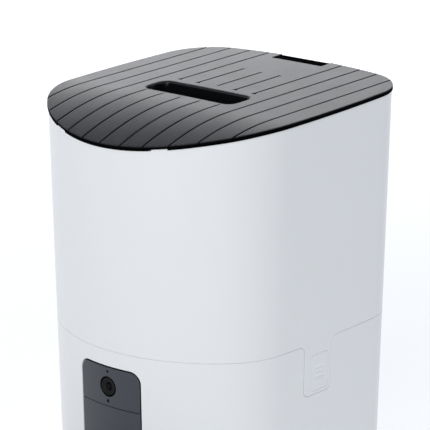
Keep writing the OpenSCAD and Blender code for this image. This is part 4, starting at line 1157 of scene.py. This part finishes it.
def make_vanes():
    """The rotor's six soft paddles, thinner towards the tip."""
    low, high = mm_box("rotor_vanes")
    root, tip, top, half_t = 11, high.y - rotor_y, 133, 0.8
    path = soften([(root, low.z), (tip - 0.5, low.z), (tip, low.z + 1), (tip, top - 2), (tip - 2.5, top),
                   (root * 2, top), (root + 3.5, top - 5), (root, top - 5)], 2.5, 4)
    path = fine(path, 4, True)
    bm = new_mesh()
    for k in range(6):
        turn = Matrix.Rotation(math.radians(60 * (k + 0.5)), 3, "Z")

        def place(p):
            flex = 1 - 0.4 * (p[0] - root) / (tip - root)
            return turn @ Vector((p[0], -p[2] * flex, p[1])) + Vector((0, rotor_y, 0))
        slab_between(bm, path, -half_t, half_t, 0.4, place)
    finish_piece(bm, "rotor_paddles", "rotor", SILICONE, "rotor_vanes")


# ---------------------------------------------------------------- feet
def make_feet():
    """The rubber feet, each with a ring that stands on the floor."""
    for name, body, spots, r, top in (
            ("rubber_feet", "base", [(50, -16), (-50, -16), (48, 122), (-48, 122)], 8, 3.75),
            ("tray_feet", "tray", [(-62, -62), (62, -62), (0, -142.5)], 5.5, 2.35)):
        bm = new_mesh()
        for x, y in spots:
            lathe(bm, [(0, 0.25), (r - 3, 0.25), (r - 2.2, 0), (r - 0.7, 0), (r - 0.2, 0.35), (r, 1),
                       (r, top), (0, top)], (x, y, 0), "z", 48)
        finish_piece(bm, name + "_pads", body, RUBBER, name)


make_tank()
make_base()
make_button(1, "right_release_button", "right_button")
make_button(-1, "left_release_button", "left_button")
make_panel()
make_camera()
make_feed_button()
make_lid()
make_latch()
make_tray()
make_bowl()
make_door()
make_hopper()
make_gasket()
make_vanes()
make_feet()


# ---------------------------------------------------------------- the CAD's own nodes
def dress_nodes():
    """Gives each CAD node that stays its procedural finish."""
    slots = {part["node"]: part["material_slot"] for part in frame["record"]["subparts"]}
    for name, node in frame["nodes"].items():
        if name in slots and not node.hide_render:
            finish = FINISHES[slots[name]]
            node.data.materials.clear()
            node.data.materials.append(finish.material)


dress_nodes()


# ---------------------------------------------------------------- stage, light and camera
def make_stage():
    """A plain pale floor, a disc with a radius of 6 m."""
    bm = bmesh.new()
    bm.faces.new([bm.verts.new((x, y, 0)) for x, y in arc(0, 0, 6, 0, 360, 64)[:-1]])
    mesh = bpy.data.meshes.new("floor")
    bm.to_mesh(mesh)
    bm.free()
    floor = bpy.data.objects.new("floor", mesh)
    bpy.context.scene.collection.objects.link(floor)
    m = bpy.data.materials.new("floor_pale")
    m.use_nodes = True
    shader = m.node_tree.nodes["Principled BSDF"]
    shader.inputs["Base Color"].default_value = (0.93, 0.93, 0.93, 1)
    shader.inputs["Roughness"].default_value = 0.9
    shader.inputs["Specular IOR Level"].default_value = 0.1
    shader.inputs["Emission Color"].default_value = (1, 1, 1, 1)
    shader.inputs["Emission Strength"].default_value = 0.5
    mesh.materials.append(m)


def make_world():
    """A grey-white studio, darker overhead."""
    world = bpy.data.worlds.new("studio")
    bpy.context.scene.world = world
    world.use_nodes = True
    tree = world.node_tree
    back = tree.nodes["Background"]
    back.inputs["Color"].default_value = (0.455, 0.488, 0.545, 1)
    split = tree.nodes.new("ShaderNodeSeparateXYZ")
    tree.links.new(tree.nodes.new("ShaderNodeTexCoord").outputs["Generated"], split.inputs["Vector"])
    fade = tree.nodes.new("ShaderNodeMapRange")
    for key, value in (("From Min", 0.15), ("From Max", 0.9), ("To Min", 1.0), ("To Max", 0.55)):
        fade.inputs[key].default_value = value
    tree.links.new(split.outputs["Z"], fade.inputs["Value"])
    tree.links.new(fade.outputs["Result"], back.inputs["Strength"])


def soft_box(name, place, aim, size, power, colour=(1, 1, 1)):
    """A rectangular light that points at aim."""
    light = bpy.data.lights.new(name, "AREA")
    light.shape = "RECTANGLE"
    light.size, light.size_y = size
    light.energy = power
    light.color = colour
    o = bpy.data.objects.new(name, light)
    o.location = place
    o.rotation_euler = (Vector(aim) - Vector(place)).to_track_quat("-Z", "Y").to_euler()
    bpy.context.scene.collection.objects.link(o)


def make_camera_view():
    """The photo's view, from in front on the right and above."""
    data = bpy.data.cameras.new("view")
    data.sensor_width = 36
    data.lens = 185.36
    data.shift_y = 0.0021
    data.clip_end = 50
    o = bpy.data.objects.new("view", data)
    o.location = (0.9299, -1.0141, 0.6343)
    o.rotation_euler = Vector((-0.6300, 0.7237, -0.2818)).to_track_quat("-Z", "Y").to_euler()
    bpy.context.scene.collection.objects.link(o)
    bpy.context.scene.camera = o


make_stage()
make_world()
soft_box("key", (0.8, -2.3, 1.0), (0, 0, 0.15), (1.6, 1.4), 21, (1, 0.985, 0.955))
soft_box("backdrop", (-1.5, 1.75, 0.8), (0, 0, 0.3), (3.2, 1.0), 17.5)
make_camera_view()
bpy.context.scene.view_settings.view_transform = "Standard"
